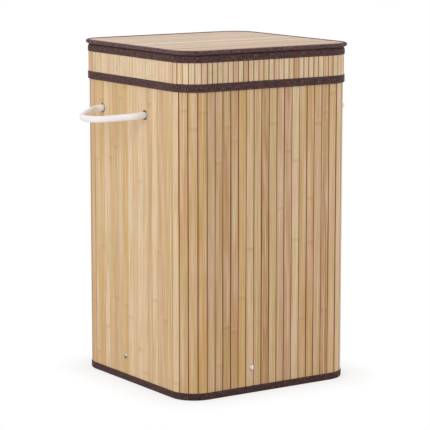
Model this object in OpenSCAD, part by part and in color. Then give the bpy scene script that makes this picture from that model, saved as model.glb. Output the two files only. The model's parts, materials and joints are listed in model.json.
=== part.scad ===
// Square laundry hamper of bamboo slats with a hinged lid, rope handles,
// a loose base board and a cloth liner. Millimetres, +Z up, front towards -Y,
// origin on the floor under the middle of the hamper.

/* [Body] */
// Width across the outer faces of the wall slats, left to right
body_w = 350; // [300:1:420]
// Depth across the outer faces of the wall slats, front to back
body_d = 350; // [300:1:420]
// Height of the rim above the floor
rim_z = 592; // [500:1:700]
// Corner radius at the outer faces of the wall slats
corner_r = 45; // [36:1:60]
// Thickness of the cloth that the wall slats are glued to
backing_t = 0.8; // [0.5:0.1:1.2]

/* [Wall slats] */
// Distance from one wall slat to the next, before it is rounded to fill the wall
slat_pitch = 16; // [12:0.5:24]
// Open gap between two wall slats
slat_gap = 1; // [0.5:0.1:2]
// Thickness of a wall slat
slat_t = 2; // [1.4:0.1:3]
// How far the first wall slat stands to the right of the middle of the front
slat_shift = 3.1; // [0:0.1:15]

/* [Collar] */
// Height from the lower edge of the collar to the rim
collar_h = 62; // [50:1:110]
// Distance from one collar slat to the next, before it is rounded to fill the collar
collar_pitch = 10.5; // [8:0.5:16]
// Open gap between two collar slats
collar_gap = 0.8; // [0.5:0.1:1.5]
// Thickness of a collar slat
collar_slat_t = 1.2; // [0.8:0.1:2]
// Thickness of the cloth that the collar slats are glued to
collar_backing_t = 0.4; // [0.3:0.1:0.8]
// How far the first collar slat stands to the left of the middle of the front
collar_shift = 2; // [0:0.1:10]

/* [Bindings] */
// Thickness of the woven binding tape
tape_t = 0.8; // [0.6:0.1:1.2]
// Height of the tape around the foot of the wall
foot_band_h = 12.5; // [8:0.5:25]
// Height of the tape around the lower edge of the collar
collar_band_h = 14; // [8:0.5:25]
// Height of the tape around the rim
rim_band_h = 12.5; // [9:0.5:25]
// Diameter of the steel wire that keeps the mouth square
hoop_d = 4; // [3:0.1:5]

/* [Lid] */
// How far the lid stands out beyond the rim tape
lid_overhang = 1.85; // [1:0.05:6]
// Corner radius of the lid
lid_r = 44; // [36:1:55]
// Thickness of the lid's core board
lid_board_t = 3.2; // [2.5:0.1:6]
// Thickness of a lid slat
lid_slat_t = 2; // [1.2:0.1:3]
// Distance from one lid slat to the next, before it is rounded to fill the lid
lid_slat_pitch = 15.5; // [10:0.5:24]
// Open gap between two lid slats
lid_slat_gap = 0.8; // [0.4:0.1:2]
// Thickness of the cloth under the lid
lid_lining_t = 0.5; // [0.3:0.1:1]
// Thickness of the rolled tape around the lid
lid_tape_t = 0.9; // [0.6:0.1:1.2]
// How far the rolled tape reaches over the lid slats
lid_tape_cover = 6; // [4:0.5:20]
// Rounding of the rolled tape
lid_roll_r = 2.8; // [1:0.1:3.2]
// Gap under the closed lid
lid_gap = 0.3; // [0.2:0.05:1]
// How far the hinge strip stops short of the sides of the body
hinge_inset = 50; // [48:1:120]
// Thickness of the hinge strip
hinge_strip_t = 0.75; // [0.5:0.05:1]

/* [Handles] */
// How far the eyelets lie below the rim
handle_drop = 110; // [90:1:380]
// Distance between the two eyelets of a handle
handle_span = 141; // [110:1:160]
// How far each handle stands off the middle of its wall
handle_shift = 26; // [0:1:45]
// Diameter of the rope
rope_d = 11.5; // [8:0.5:12]
// How far the rope loop reaches out from the wall
handle_reach = 75; // [60:1:85]
// Angle at which the legs of the loop close in on each other
handle_lead = 39; // [30:1:42]
// Radius of the bend where the rope leaves the eyelet
handle_bend_r = 23; // [14:1:28]
// Angle at which the loop droops below level
handle_droop = 7; // [0:1:20]
// Outer diameter of an eyelet
eyelet_d = 17; // [16.5:0.5:24]
// Play of the rope in the eyelet, on the radius
rope_play = 0.55; // [0.3:0.05:0.8]
// Diameter of the knot at each end of the rope
knot_d = 21; // [18:0.5:26]
// Length of the rope's tail below the middle of the knot
knot_tail = 24; // [14:1:40]

/* [Base] */
// Height of the underside of the base board above the floor
base_z = 36; // [20:1:80]
// Thickness of the base board
base_t = 5; // [3:0.5:8]
// Height of the rivets above the underside of the base board
rivet_rise = 8.3; // [6:0.1:14]
// Diameter of a rivet's domed head
rivet_head_d = 9.6; // [7:0.1:14]
// Height of a rivet's domed head
rivet_head_h = 2.2; // [1:0.1:4]
// Diameter of a rivet's shank
rivet_d = 4; // [3:0.1:5]
// Sideways place of the rivets in the left and right walls
side_rivet_shift = 24; // [0:1:60]
// Sideways place of the rivets in the front and back walls
front_rivet_shift = 40; // [0:1:60]
// Width of a base bracket
bracket_w = 24; // [14:1:40]
// Thickness of a base bracket
bracket_t = 1.2; // [0.8:0.1:2]
// Length of a bracket's foot under the base board
bracket_foot = 26; // [14:1:50]

/* [Liner] */
// Thickness of the liner cloth with its folds
liner_t = 1.2; // [0.6:0.1:2]
// How far the top of the liner lies below the rim
liner_drop = 19; // [16:1:60]
// Width of the hook and loop strips
strip_w = 25; // [15:1:40]
// Thickness of each hook or loop strip
strip_t = 0.8; // [0.5:0.1:1.5]
// How far the hanging part of the liner stands in from the wall cloth
liner_slack = 6.2; // [5:0.1:20]

/* [Hidden] */

$fn = 96;

// Glue lines and the room left between layers that lie on each other
bond = 0.05;
ease = 0.1;
running_gap = 0.3;
cut = 1;

// The wall in layers, as distances outwards from the outer face of the wall slats
backing_out = -(slat_t + bond);
backing_in = backing_out - backing_t;
collar_in = ease;
collar_face = collar_in + collar_backing_t + bond + collar_slat_t;
band_in = collar_face + ease;
band_out = band_in + tape_t;
hoop_line = backing_in - ease - hoop_d / 2;
rim_leg_out = hoop_line - hoop_d / 2 - ease;
rim_leg_in = rim_leg_out - tape_t;

// Levels
wall_bottom = tape_t + ease;
wall_top = rim_z - tape_t - ease;
collar_z = rim_z - collar_h;
handle_z = rim_z - handle_drop;
lid_t = 2 * lid_tape_t + lid_lining_t + lid_board_t + lid_slat_t + 4 * bond;
lid_z = rim_z + lid_gap;
rivet_z = base_z + rivet_rise;
rivet_tail_h = 1.4;
rivet_tail_d = rivet_d + 2.4;

// Lid outline: the hinge strip at its back edge makes up its depth
lid_w = body_w + 2 * (band_out + lid_overhang);
lid_d = body_d + 2 * (band_out + lid_overhang) - hinge_strip_t - bond;
lid_y = -(hinge_strip_t + bond) / 2;
lid_back = lid_y + lid_d / 2;
lid_layer_inset = lid_tape_t + ease;
hinge_strip_w = body_w - 2 * hinge_inset;

// Fittings: the rope turns on a line a little outside the wall
eyelet_lip_t = 1;
eyelet_wall = 0.5;
bore_r = rope_d / 2 + rope_play;
barrel_r = bore_r + eyelet_wall;
washer_t = 1;
washer_in = backing_in - ease - washer_t;
lip_in = washer_in - ease - 0.6;
lip_r = barrel_r + 0.9;
pivot_out = ease + eyelet_lip_t + rope_d / 2 + 1.15;
knot_line = lip_in - sqrt(pow(knot_d / 2, 2) - pow(bore_r, 2)) - ease;

// Rope loop, measured from its turning line: a straight lead, a bend, a leg and the round tip
lead_l = 2;
rope_sides = 12;
loop_reach = handle_reach - pivot_out;
bend_end = [lead_l + handle_bend_r * sin(handle_lead),
            handle_span / 2 - handle_bend_r * (1 - cos(handle_lead))];
tip_r = (bend_end[1] - tan(handle_lead) * (loop_reach - bend_end[0]))
        / (cos(handle_lead) - tan(handle_lead) * (1 - sin(handle_lead)));

// Liner
liner_top = rim_z - liner_drop;
strip_z = liner_top - strip_w - 2;
hook_in = backing_in - ease - strip_t;
loop_out = hook_in - running_gap;
loop_in = loop_out - strip_t;
liner_out = loop_in - bond;
liner_hang = min(backing_in - liner_slack, liner_out - 1);
liner_z = base_z + base_t + running_gap;
liner_shoulder = 25;

// Base board
base_inset = bracket_t + rivet_tail_h + ease + 1;
board_in = backing_in - base_inset;

// ---- outlines ----

// Upright block with the hamper's rounded outline, grown by off
module prism(off, z0, z1) {
    rounded_block(body_w + 2 * off, body_d + 2 * off, corner_r + off, z0, z1);
}

module rounded_block(w, d, r, z0, z1) {
    translate([-w / 2 + r, -d / 2, z0]) cube([w - 2 * r, d, z1 - z0]);
    translate([-w / 2, -d / 2 + r, z0]) cube([w, d - 2 * r, z1 - z0]);
    for (x = [-1, 1], y = [-1, 1])
        translate([x * (w / 2 - r), y * (d / 2 - r), z0]) cylinder(r = r, h = z1 - z0);
}

// Upright wall between two offsets of the outline
module ring(off_in, off_out, z0, z1) {
    difference() {
        prism(off_out, z0, z1);
        prism(off_in, z0 - cut, z1 + cut);
    }
}

// Carries a flat profile around a rounded outline: its x is the distance outwards, its y is height
module around(w, d, r) {
    for (k = [0:3]) {
        along = k % 2 == 0 ? w : d;
        out = k % 2 == 0 ? d : w;
        rotate([0, 0, 90 * k]) {
            translate([-along / 2 + r, -out / 2, 0]) rotate([90, 0, 90])
                linear_extrude(along - 2 * r) mirror([1, 0]) children();
            translate([along / 2 - r, -out / 2 + r, 0]) rotate([0, 0, -90])
                rotate_extrude(angle = 90) translate([r, 0]) children();
        }
    }
}

// ---- places on the walls ----

// Half the body's size outwards from side k: 0 front, 1 right, 2 back, 3 left
function half_out(k) = (k % 2 == 0 ? body_d : body_w) / 2;
function half_along(k) = (k % 2 == 0 ? body_w : body_d) / 2;

// Puts a shape on side k: x runs along the wall, -y points outwards, y = 0 is the slats' face
module on_side(k) {
    rotate([0, 0, 90 * k]) translate([0, -half_out(k), 0]) children();
}

// Puts a shape whose axis is +Z on side k, with its axis pointing outwards
module facing_out(k, x, z) {
    on_side(k) translate([x, 0, z]) rotate([90, 0, 0]) children();
}

function eyelet_places() = [for (k = [1, 3], e = [-1, 1]) [k, -handle_shift + e * handle_span / 2]];
function rivet_places() = [for (k = [0:3]) [k, -(k % 2 == 0 ? front_rivet_shift : side_rivet_shift)]];

// The eight stretches of the wall in turn: a side, then the corner to its right
function stretches(rho) = [
    for (k = [0:3]) each [2 * (half_along(k) - corner_r), PI * rho / 2]
];
function total(v, i = 0) = i == len(v) ? 0 : v[i] + total(v, i + 1);
function stretch_at(s, v, i = 0) =
    i == len(v) - 1 || s < v[i] ? [i, s] : stretch_at(s - v[i], v, i + 1);

// Rounded square of flat slats, kept to one stretch, trimmed to the outline
module slats(stretch, off, t, pitch, gap, shift, z0, z1) {
    rho = corner_r + off - t;
    runs = stretches(rho);
    n = round(total(runs) / pitch);
    step = total(runs) / n;
    intersection() {
        prism(off + bond, z0 - cut, z1 + cut);
        for (i = [0:n - 1]) {
            s = (runs[0] / 2 + shift + i * step + total(runs)) % total(runs);
            at = stretch_at(s, runs);
            if (at[0] == stretch)
                on_stretch(stretch, at[1], off, rho, t) translate([-(step - gap) / 2, 0, z0])
                    cube([step - gap, t, z1 - z0]);
        }
    }
}

module on_stretch(stretch, s, off, rho, t) {
    k = floor(stretch / 2);
    if (stretch % 2 == 0)
        on_side(k) translate([s - half_along(k) + corner_r, -off, 0]) children();
    else
        rotate([0, 0, 90 * k])
            translate([half_along(k) - corner_r, -half_out(k) + corner_r, 0])
                rotate([0, 0, s / rho * 180 / PI]) translate([0, -rho - t, 0]) children();
}

// ---- walls ----

module eyelet_holes() {
    for (p = eyelet_places())
        facing_out(p[0], p[1], handle_z) translate([0, 0, backing_in - cut])
            cylinder(r = barrel_r + ease, h = -backing_in + 2 * cut);
}

module rivet_holes() {
    for (p = rivet_places())
        facing_out(p[0], p[1], rivet_z) translate([0, 0, backing_in - cut])
            cylinder(r = rivet_d / 2 + ease, h = -backing_in + 2 * cut);
}

module wall_backing() {
    color("#5a3f30") difference() {
        ring(backing_in, backing_out, wall_bottom, wall_top);
        eyelet_holes();
        rivet_holes();
    }
}

module wall_slats(stretch) {
    color("#d2b184") difference() {
        slats(stretch, 0, slat_t, slat_pitch, slat_gap, slat_shift, wall_bottom, wall_top);
        if (stretch == 2 || stretch == 6) eyelet_holes();
        if (stretch % 2 == 0) rivet_holes();
    }
}

module wall_slats_front() { wall_slats(0); }
module corner_slats_front_right() { wall_slats(1); }
module wall_slats_right() { wall_slats(2); }
module corner_slats_back_right() { wall_slats(3); }
module wall_slats_back() { wall_slats(4); }
module corner_slats_back_left() { wall_slats(5); }
module wall_slats_left() { wall_slats(6); }
module corner_slats_front_left() { wall_slats(7); }

module collar_backing() {
    color("#5a3f30") ring(collar_in, collar_in + collar_backing_t, collar_z + wall_bottom, wall_top);
}

module collar_slats(stretch) {
    color("#dcc096") slats(stretch, collar_face, collar_slat_t, collar_pitch, collar_gap,
                           -collar_shift, collar_z + wall_bottom, wall_top);
}

module collar_slats_front() { collar_slats(0); }
module collar_slats_right() { collar_slats(2); }
module collar_slats_back() { collar_slats(4); }
module collar_slats_left() { collar_slats(6); }
module collar_corner_slats() { for (stretch = [1, 3, 5, 7]) collar_slats(stretch); }

// ---- bindings ----

module foot_binding() {
    color("#3d2a2c") difference() {
        ring(backing_in - ease - tape_t, ease + tape_t, 0, foot_band_h);
        ring(backing_in - ease, ease, tape_t, foot_band_h + cut);
    }
}

module collar_binding() {
    color("#4c353a") difference() {
        ring(ease, band_out, collar_z, collar_z + collar_band_h);
        ring(0, band_in, collar_z + tape_t, collar_z + collar_band_h + cut);
    }
}

module rim_binding() {
    color("#4c353a") difference() {
        ring(rim_leg_in, band_out, rim_z - rim_band_h, rim_z);
        ring(rim_leg_out, band_in, rim_z - rim_band_h - cut, rim_z - tape_t);
    }
}

module rim_hoop() {
    w = body_w + 2 * hoop_line;
    d = body_d + 2 * hoop_line;
    color("silver") translate([0, 0, wall_top - hoop_d / 2])
        around(w, d, corner_r + hoop_line) circle(d = hoop_d);
}

// ---- base ----

module base_board() {
    color("#c9a878") prism(board_in, base_z, base_z + base_t);
}

module base_brackets() {
    color("silver") for (p = rivet_places())
        on_side(p[0]) translate([p[1], 0, 0]) difference() {
            union() {
                translate([-bracket_w / 2, -backing_in + ease, base_z - ease - bracket_t])
                    cube([bracket_w, bracket_t, rivet_rise + rivet_head_d + bracket_t]);
                translate([-bracket_w / 2, -backing_in + ease, base_z - ease - bracket_t])
                    cube([bracket_w, bracket_foot, bracket_t]);
            }
            translate([0, -backing_in - cut, rivet_z]) rotate([-90, 0, 0])
                cylinder(r = rivet_d / 2 + ease, h = bracket_t + 2 * cut);
        }
}

// Domed head outside, shank through the wall and the bracket, flattened tail inside
module base_rivets() {
    dome_r = (pow(rivet_head_d / 2, 2) + pow(rivet_head_h, 2)) / (2 * rivet_head_h);
    tail = backing_in - 2 * ease - bracket_t;
    color("silver") for (p = rivet_places())
        facing_out(p[0], p[1], rivet_z) {
            translate([0, 0, ease]) intersection() {
                translate([0, 0, rivet_head_h - dome_r]) sphere(r = dome_r);
                cylinder(r = rivet_head_d, h = rivet_head_h + cut);
            }
            translate([0, 0, tail - rivet_tail_h / 2])
                cylinder(d = rivet_d, h = ease + rivet_tail_h - tail);
            translate([0, 0, tail - rivet_tail_h]) cylinder(d = rivet_tail_d, h = rivet_tail_h);
        }
}

// ---- handles ----

// Rolled flange outside, barrel through the wall, lip turned over the washer inside
module handle_eyelets() {
    color("silver") for (p = eyelet_places())
        facing_out(p[0], p[1], handle_z) rotate_extrude() {
            translate([bore_r + eyelet_lip_t / 2, ease])
                square([eyelet_d / 2 - bore_r - eyelet_lip_t, eyelet_lip_t]);
            for (x = [bore_r, eyelet_d / 2 - eyelet_lip_t])
                translate([x + eyelet_lip_t / 2, ease + eyelet_lip_t / 2]) circle(d = eyelet_lip_t);
            translate([bore_r, lip_in]) square([eyelet_wall, ease + eyelet_lip_t / 2 - lip_in]);
            translate([bore_r, lip_in]) square([lip_r - bore_r, washer_in - ease - lip_in]);
        }
}

module eyelet_washers() {
    color("silver") for (p = eyelet_places())
        facing_out(p[0], p[1], handle_z) translate([0, 0, washer_in]) difference() {
            cylinder(d = eyelet_d, h = washer_t);
            translate([0, 0, -cut]) cylinder(r = barrel_r + ease, h = washer_t + 2 * cut);
        }
}

// Puts a loop drawn in the X-Y plane, reaching out along +X, on its turning line
module at_handle(k) {
    on_side(k) translate([-handle_shift, -pivot_out, handle_z])
        rotate([handle_droop, 0, 0]) rotate([0, 0, -90]) children();
}

// Stations along half of the loop: [out, along, heading, radius], with a rounded end at the eyelet
function loop_half() = concat(
    [for (a = [20, 45, 70]) [-rope_d / 2 * cos(a), handle_span / 2, 0, rope_d / 2 * sin(a)]],
    [for (x = [0, lead_l]) [x, handle_span / 2, 0, rope_d / 2]],
    [for (i = [1:3]) let (a = i / 3 * handle_lead)
        [lead_l + handle_bend_r * sin(a), handle_span / 2 - handle_bend_r * (1 - cos(a)),
         -a, rope_d / 2]],
    [for (i = [0:7]) let (a = handle_lead + i / 7 * (90 - handle_lead))
        [loop_reach - tip_r * (1 - sin(a)), tip_r * cos(a), -a, rope_d / 2]]
);
function other_half(v) = [for (i = [len(v) - 2:-1:0]) [v[i][0], -v[i][1], -180 - v[i][2], v[i][3]]];

// Round tube through stations in the X-Y plane
module tube(stations) {
    n = len(stations);
    m = rope_sides;
    polyhedron(
        points = [for (s = stations, j = [0:m - 1]) let (a = 360 * j / m)
            [s[0] - s[3] * cos(a) * sin(s[2]), s[1] + s[3] * cos(a) * cos(s[2]), s[3] * sin(a)]],
        faces = concat(
            [[for (j = [0:m - 1]) j]],
            [[for (j = [m - 1:-1:0]) (n - 1) * m + j]],
            [for (i = [0:n - 2], j = [0:m - 1]) let (k = (j + 1) % m)
                [i * m + j, (i + 1) * m + j, (i + 1) * m + k, i * m + k]]
        )
    );
}

module rope_loop(k) {
    color("#efe9e0") at_handle(k) tube(concat(loop_half(), other_half(loop_half())));
}

module left_rope_loop() { rope_loop(3); }
module right_rope_loop() { rope_loop(1); }

// The rope through the wall, its knot and its tail
module rope_ends(k) {
    color("#efe9e0") for (e = [-1, 1])
        facing_out(k, -handle_shift + e * handle_span / 2, handle_z) {
            translate([0, 0, knot_line])
                cylinder(d = rope_d, h = pivot_out - rope_d / 2 - running_gap - knot_line);
            translate([0, 0, knot_line]) sphere(d = knot_d);
            translate([0, 0, knot_line]) rotate([90, 0, 0]) cylinder(d = rope_d, h = knot_tail);
        }
}

module left_rope_ends() { rope_ends(3); }
module right_rope_ends() { rope_ends(1); }

// ---- liner ----

// Room for the knots behind the liner
module knot_rooms(grow) {
    room = 1;
    for (p = eyelet_places())
        facing_out(p[0], p[1], handle_z) translate([0, 0, knot_line]) {
            sphere(r = knot_d / 2 + room + grow);
            rotate([90, 0, 0]) cylinder(r = rope_d / 2 + room + grow, h = knot_tail + room);
            translate([0, -knot_tail - room, 0]) sphere(r = rope_d / 2 + room + grow);
        }
}

module liner_bag() {
    shoulder_z = strip_z - 4;
    color("#e8dfcf") difference() {
        union() {
            around(body_w, body_d, corner_r) polygon([
                [liner_out, liner_top],
                [liner_out, shoulder_z],
                [liner_hang, shoulder_z - liner_shoulder],
                [liner_hang, liner_z],
                [liner_hang - liner_t, liner_z],
                [liner_hang - liner_t, shoulder_z - liner_shoulder],
                [liner_out - liner_t, shoulder_z],
                [liner_out - liner_t, liner_top]
            ]);
            prism(liner_hang - liner_t / 2, liner_z, liner_z + liner_t);
            intersection() {
                knot_rooms(liner_t);
                prism(liner_hang - liner_t / 2, liner_z, shoulder_z);
            }
        }
        knot_rooms(0);
    }
}

module liner_loop_strip() {
    color("#e8dfcf") ring(loop_in, loop_out, strip_z, strip_z + strip_w);
}

module wall_hook_strip() {
    color("#5a3f30") ring(hook_in, backing_in - ease, strip_z, strip_z + strip_w);
}

// ---- lid ----

// A flat layer of the lid between two heights above its underside
module lid_layer(z0, z1) {
    translate([0, lid_y, lid_z])
        rounded_block(lid_w - 2 * lid_layer_inset, lid_d - 2 * lid_layer_inset,
                      lid_r - lid_layer_inset, z0, z1);
}

lining_z = lid_tape_t + bond;
board_z = lining_z + lid_lining_t + bond;
lid_slat_z = board_z + lid_board_t + bond;

module lid_lining() { color("#5a3f30") lid_layer(lining_z, lining_z + lid_lining_t); }
module lid_board() { color("#b08a5c") lid_layer(board_z, board_z + lid_board_t); }

module lid_slats() {
    depth = lid_d - 2 * lid_layer_inset;
    n = round(depth / lid_slat_pitch);
    step = depth / n;
    color("#dccbb0") intersection() {
        lid_layer(lid_slat_z, lid_slat_z + lid_slat_t);
        translate([-lid_w / 2, lid_y - depth / 2, lid_z + lid_slat_z - cut]) for (i = [0:n - 1])
            translate([0, i * step + lid_slat_gap / 2, 0])
                cube([lid_w, step - lid_slat_gap, lid_slat_t + 2 * cut]);
    }
}

module lid_roll_profile() {
    difference() {
        union() {
            translate([-lid_tape_cover, 0]) square([lid_tape_cover - lid_roll_r, lid_t]);
            translate([-lid_roll_r - bond, lid_roll_r])
                square([lid_roll_r + bond, lid_t - 2 * lid_roll_r]);
            for (y = [lid_roll_r, lid_t - lid_roll_r])
                translate([-lid_roll_r, y]) circle(r = lid_roll_r);
        }
        translate([-lid_tape_cover - cut, lid_tape_t])
            square([lid_tape_cover + cut - lid_tape_t, lid_t - 2 * lid_tape_t]);
    }
}

module lid_binding() {
    color("#4c353a") translate([0, lid_y, lid_z]) around(lid_w, lid_d, lid_r) lid_roll_profile();
}

// The hinge strip's upper leaf on the lid's back edge and its lower leaf on the rim tape
module hinge_strip_lid() {
    color("#4c353a") translate([-hinge_strip_w / 2, lid_back + bond, lid_z + running_gap])
        cube([hinge_strip_w, hinge_strip_t, lid_t - 2 * running_gap]);
}

module hinge_strip_wall() {
    color("#4c353a") translate([-hinge_strip_w / 2, body_d / 2 + band_out + bond, rim_z - rim_band_h])
        cube([hinge_strip_w, hinge_strip_t, rim_band_h - running_gap]);
}

wall_backing();
wall_slats_front();
wall_slats_right();
wall_slats_back();
wall_slats_left();
corner_slats_front_right();
corner_slats_back_right();
corner_slats_back_left();
corner_slats_front_left();
collar_backing();
collar_slats_front();
collar_slats_right();
collar_slats_back();
collar_slats_left();
collar_corner_slats();
foot_binding();
collar_binding();
rim_binding();
rim_hoop();
base_board();
base_brackets();
base_rivets();
handle_eyelets();
eyelet_washers();
left_rope_loop();
right_rope_loop();
left_rope_ends();
right_rope_ends();
liner_bag();
liner_loop_strip();
wall_hook_strip();
lid_board();
lid_slats();
lid_lining();
lid_binding();
hinge_strip_lid();
hinge_strip_wall();
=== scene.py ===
# %% [markdown]
# # A bamboo laundry hamper with a hinged lid
# A square hamper is a roll-up mat of bamboo slats bent round into a tube, with dark cotton
# tape folded over its raw edges, a slatted lid, two rope handles and a cloth liner.
# The CAD model gives the sizes and places. This script lays the real surfaces over it:
# it loads the CAD as a fixed frame.

# %% Load the frame
import json
import math
import bpy
import numpy as np
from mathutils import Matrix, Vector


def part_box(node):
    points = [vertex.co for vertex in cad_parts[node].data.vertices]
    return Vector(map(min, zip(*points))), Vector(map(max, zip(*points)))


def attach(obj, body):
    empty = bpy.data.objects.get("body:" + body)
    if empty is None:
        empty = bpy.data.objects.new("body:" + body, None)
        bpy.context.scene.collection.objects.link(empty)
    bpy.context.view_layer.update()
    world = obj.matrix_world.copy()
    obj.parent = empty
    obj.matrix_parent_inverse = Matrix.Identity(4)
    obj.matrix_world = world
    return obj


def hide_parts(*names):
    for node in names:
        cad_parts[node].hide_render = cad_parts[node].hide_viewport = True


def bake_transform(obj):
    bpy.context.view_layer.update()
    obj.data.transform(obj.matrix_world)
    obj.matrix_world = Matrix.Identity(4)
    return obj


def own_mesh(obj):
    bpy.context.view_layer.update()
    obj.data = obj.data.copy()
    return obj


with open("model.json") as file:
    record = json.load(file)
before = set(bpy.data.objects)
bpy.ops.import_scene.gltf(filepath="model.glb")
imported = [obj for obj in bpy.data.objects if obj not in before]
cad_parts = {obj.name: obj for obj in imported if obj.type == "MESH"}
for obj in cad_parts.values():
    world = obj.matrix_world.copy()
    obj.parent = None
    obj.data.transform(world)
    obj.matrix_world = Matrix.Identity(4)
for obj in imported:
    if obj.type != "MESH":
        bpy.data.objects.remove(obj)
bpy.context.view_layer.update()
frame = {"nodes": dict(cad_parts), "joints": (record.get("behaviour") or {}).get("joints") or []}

# %% [markdown]
# ## Helpers
# A few steps come up again and again below: linking a new object, making directions one unit
# long, measuring along a line, going from one value to another, and joining coordinates.

# %% Helpers for objects and points
MM = 0.001


def placed(name, data):
    """A new object with its data, linked to the scene."""
    thing = bpy.data.objects.new(name, data)
    bpy.context.scene.collection.objects.link(thing)
    return thing


def unit(ways):
    """Directions scaled to length 1."""
    return ways / np.linalg.norm(ways, axis=-1, keepdims=True)


def so_far(line, closed=False):
    """The length along a line up to each of its points, and back to the first if it is closed."""
    line = np.concatenate([line, line[:1]]) if closed else line
    return np.concatenate([[0.0], np.cumsum(np.linalg.norm(np.diff(line, axis=0), axis=1))])


def between(low, high, share):
    """The value that lies a share of the way from low to high."""
    return low + (high - low) * share


def circle(angle, across, up):
    """Directions at angles round a circle, from one direction towards another square to it."""
    return np.cos(angle) * across + np.sin(angle) * up


def smooth_step(t):
    """Eases from 0 to 1 as t goes from 0 to 1: three t squared less two t cubed."""
    t = np.clip(t, 0, 1)
    return t * t * (3 - 2 * t)


def together(*parts):
    """Arrays side by side in a new last axis, each repeated as far as the others need."""
    return np.stack(np.broadcast_arrays(*parts), -1)


def raised(xy, z):
    """Points of the ground plane, each given a height."""
    return np.concatenate([xy, np.broadcast_to(z, xy.shape[:-1])[..., None]], -1)


# %% [markdown]
# ## Camera
# A long lens from a few metres away keeps the upright edges nearly parallel. The camera is
# placed by how far round, how far off and how high it stands, and it looks at a point on the
# hamper's own upright axis, so nothing is turned by hand.

# %% Camera
camera_turn = math.radians(-33.77)
camera_distance, camera_height, aim_height = 3.6755, 0.888, 0.2859
lens = bpy.data.cameras.new("studio_camera")
lens.lens = 173.3
lens.sensor_width = 36.0
lens.clip_end = 60.0
camera = placed("studio_camera", lens)
ground = camera_distance * np.array([math.sin(camera_turn), -math.cos(camera_turn)])
camera.location = (*ground, camera_height)
dip = math.atan2(camera_height - aim_height, camera_distance)
camera.rotation_euler = (math.pi / 2 - dip, 0.0, camera_turn)
bpy.context.scene.camera = camera
print("camera", round(camera_distance, 2), "m away, dipping", round(math.degrees(dip), 2), "degrees")

# %% [markdown]
# ## Colours and nodes
# Colours are easiest to think of as they look on a screen, so they are written as sRGB hex
# values, but a renderer adds and multiplies light, and needs them linear. One function turns
# them. A second function adds a shader node with its settings and links. The small ones after
# it stand for the steps that nearly every material takes, so that each reads as a recipe.

# %% Colour and node helpers
def linear(colour):
    """Linear RGBA of an sRGB hex colour: below 0.04045 a plain division, above it a power of 2.4."""
    c = np.array([int(colour[i:i + 2], 16) for i in (1, 3, 5)]) / 255
    c = np.where(c <= 0.04045, c / 12.92, ((c + 0.055) / 1.055) ** 2.4)
    return (*c.tolist(), 1.0)


def add(tree, kind, sockets=None, stops=(), **settings):
    """Adds one shader node. Each socket, by name or number, gets a value, or a link where it is
    given another node's output. Stops are a colour ramp's places and colours."""
    node = tree.nodes.new("ShaderNode" + kind)
    for name, value in settings.items():
        setattr(node, name, value)
    for key, value in (sockets or {}).items():
        if isinstance(value, bpy.types.NodeSocket):
            tree.links.new(value, node.inputs[key])
        else:
            node.inputs[key].default_value = value
    for k, (place, colour) in enumerate(stops):
        element = node.color_ramp.elements[k] if k < 2 else node.color_ramp.elements.new(place)
        element.position = place
        element.color = linear(colour)
    return node


def fresh(name, uv=True):
    """A new material with an empty node tree, and the place that its patterns go by: the
    piece's own UV map, or its Object coordinates."""
    material = bpy.data.materials.new(name)
    material.use_nodes = True
    tree = material.node_tree
    tree.nodes.clear()
    if uv:
        return material, tree, add(tree, "UVMap", uv_map="surface").outputs[0]
    return material, tree, add(tree, "TexCoord").outputs["Object"]


def noise(tree, place, cells, detail=2.0):
    """Noise with so many cells to the metre: one number, or one number for each axis."""
    if isinstance(cells, tuple):
        place = add(tree, "Mapping", {"Vector": place, "Scale": (*cells, 1.0)[:3]}).outputs[0]
        cells = 1.0
    return add(tree, "TexNoise", {"Vector": place, "Scale": cells, "Detail": detail}).outputs[0]


def spread(tree, value, start, end, low=0.0, high=1.0, **settings):
    """A value moved in proportion from the range start to end onto low to high, and held there."""
    ends = {"Value": value, "From Min": start, "From Max": end, "To Min": low, "To Max": high}
    return add(tree, "MapRange", ends, **settings).outputs[0]


def maths(tree, operation, *values):
    """One step of arithmetic with numbers or other nodes' outputs."""
    return add(tree, "Math", dict(enumerate(values)), operation=operation).outputs[0]


def ramp(tree, value, *stops):
    """The colour at a value between 0 and 1 on a row of stops."""
    return add(tree, "ValToRGB", {0: value}, stops).outputs[0]


def tinted(tree, share, under, colour):
    """A colour with a share of another laid over it."""
    return add(tree, "Mix", {0: share, 6: under, 7: linear(colour)}, data_type="RGBA").outputs[2]


def surfaced(material, body, rough, relief=None, strength=0.0, depth=0.0, **more):
    """The end of a material: its colour and roughness, a bump from a relief with a strength and
    a depth in millimetres, and further sockets, named with low lines where they have spaces."""
    tree = material.node_tree
    sockets = {name.replace("_", " "): value for name, value in more.items()}
    sockets |= {"Base Color": body, "Roughness": rough}
    if relief is not None:
        bump = {"Height": relief, "Strength": strength, "Distance": depth * MM}
        sockets["Normal"] = add(tree, "Bump", bump).outputs[0]
    shader = add(tree, "BsdfPrincipled", sockets)
    add(tree, "OutputMaterial", {"Surface": shader.outputs[0]})
    return material


def seen_ray(tree):
    """1 for rays that the eye follows: straight, mirrored or through glass. 0 for light's own."""
    ray = add(tree, "LightPath").outputs
    seen = maths(tree, "MAXIMUM", ray["Is Camera Ray"], ray["Is Glossy Ray"])
    return maths(tree, "MAXIMUM", seen, ray["Is Transmission Ray"])


# %% [markdown]
# ## Studio
# A white sweep and big soft lights are the plainest studio there is. Here the floor is a
# matt white sheet, so it takes the hamper's shadow, and far from the hamper it fades into
# plain white, so that it has no edge. The world is white to the camera and in reflections,
# and about half as bright as a light, which leaves room for the lamps to give the walls their
# different tones: the left wall is the bright one, the front is calmer.

# %% Floor, world and lamps
floor_half = 25.0
# paper_glow is the share of painted glow on the paper at the foot, which lifts the hamper's shadow.
foot_straight, foot_round, fade_reach, paper_glow = 0.13, 0.045, 0.075, 0.68


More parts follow.
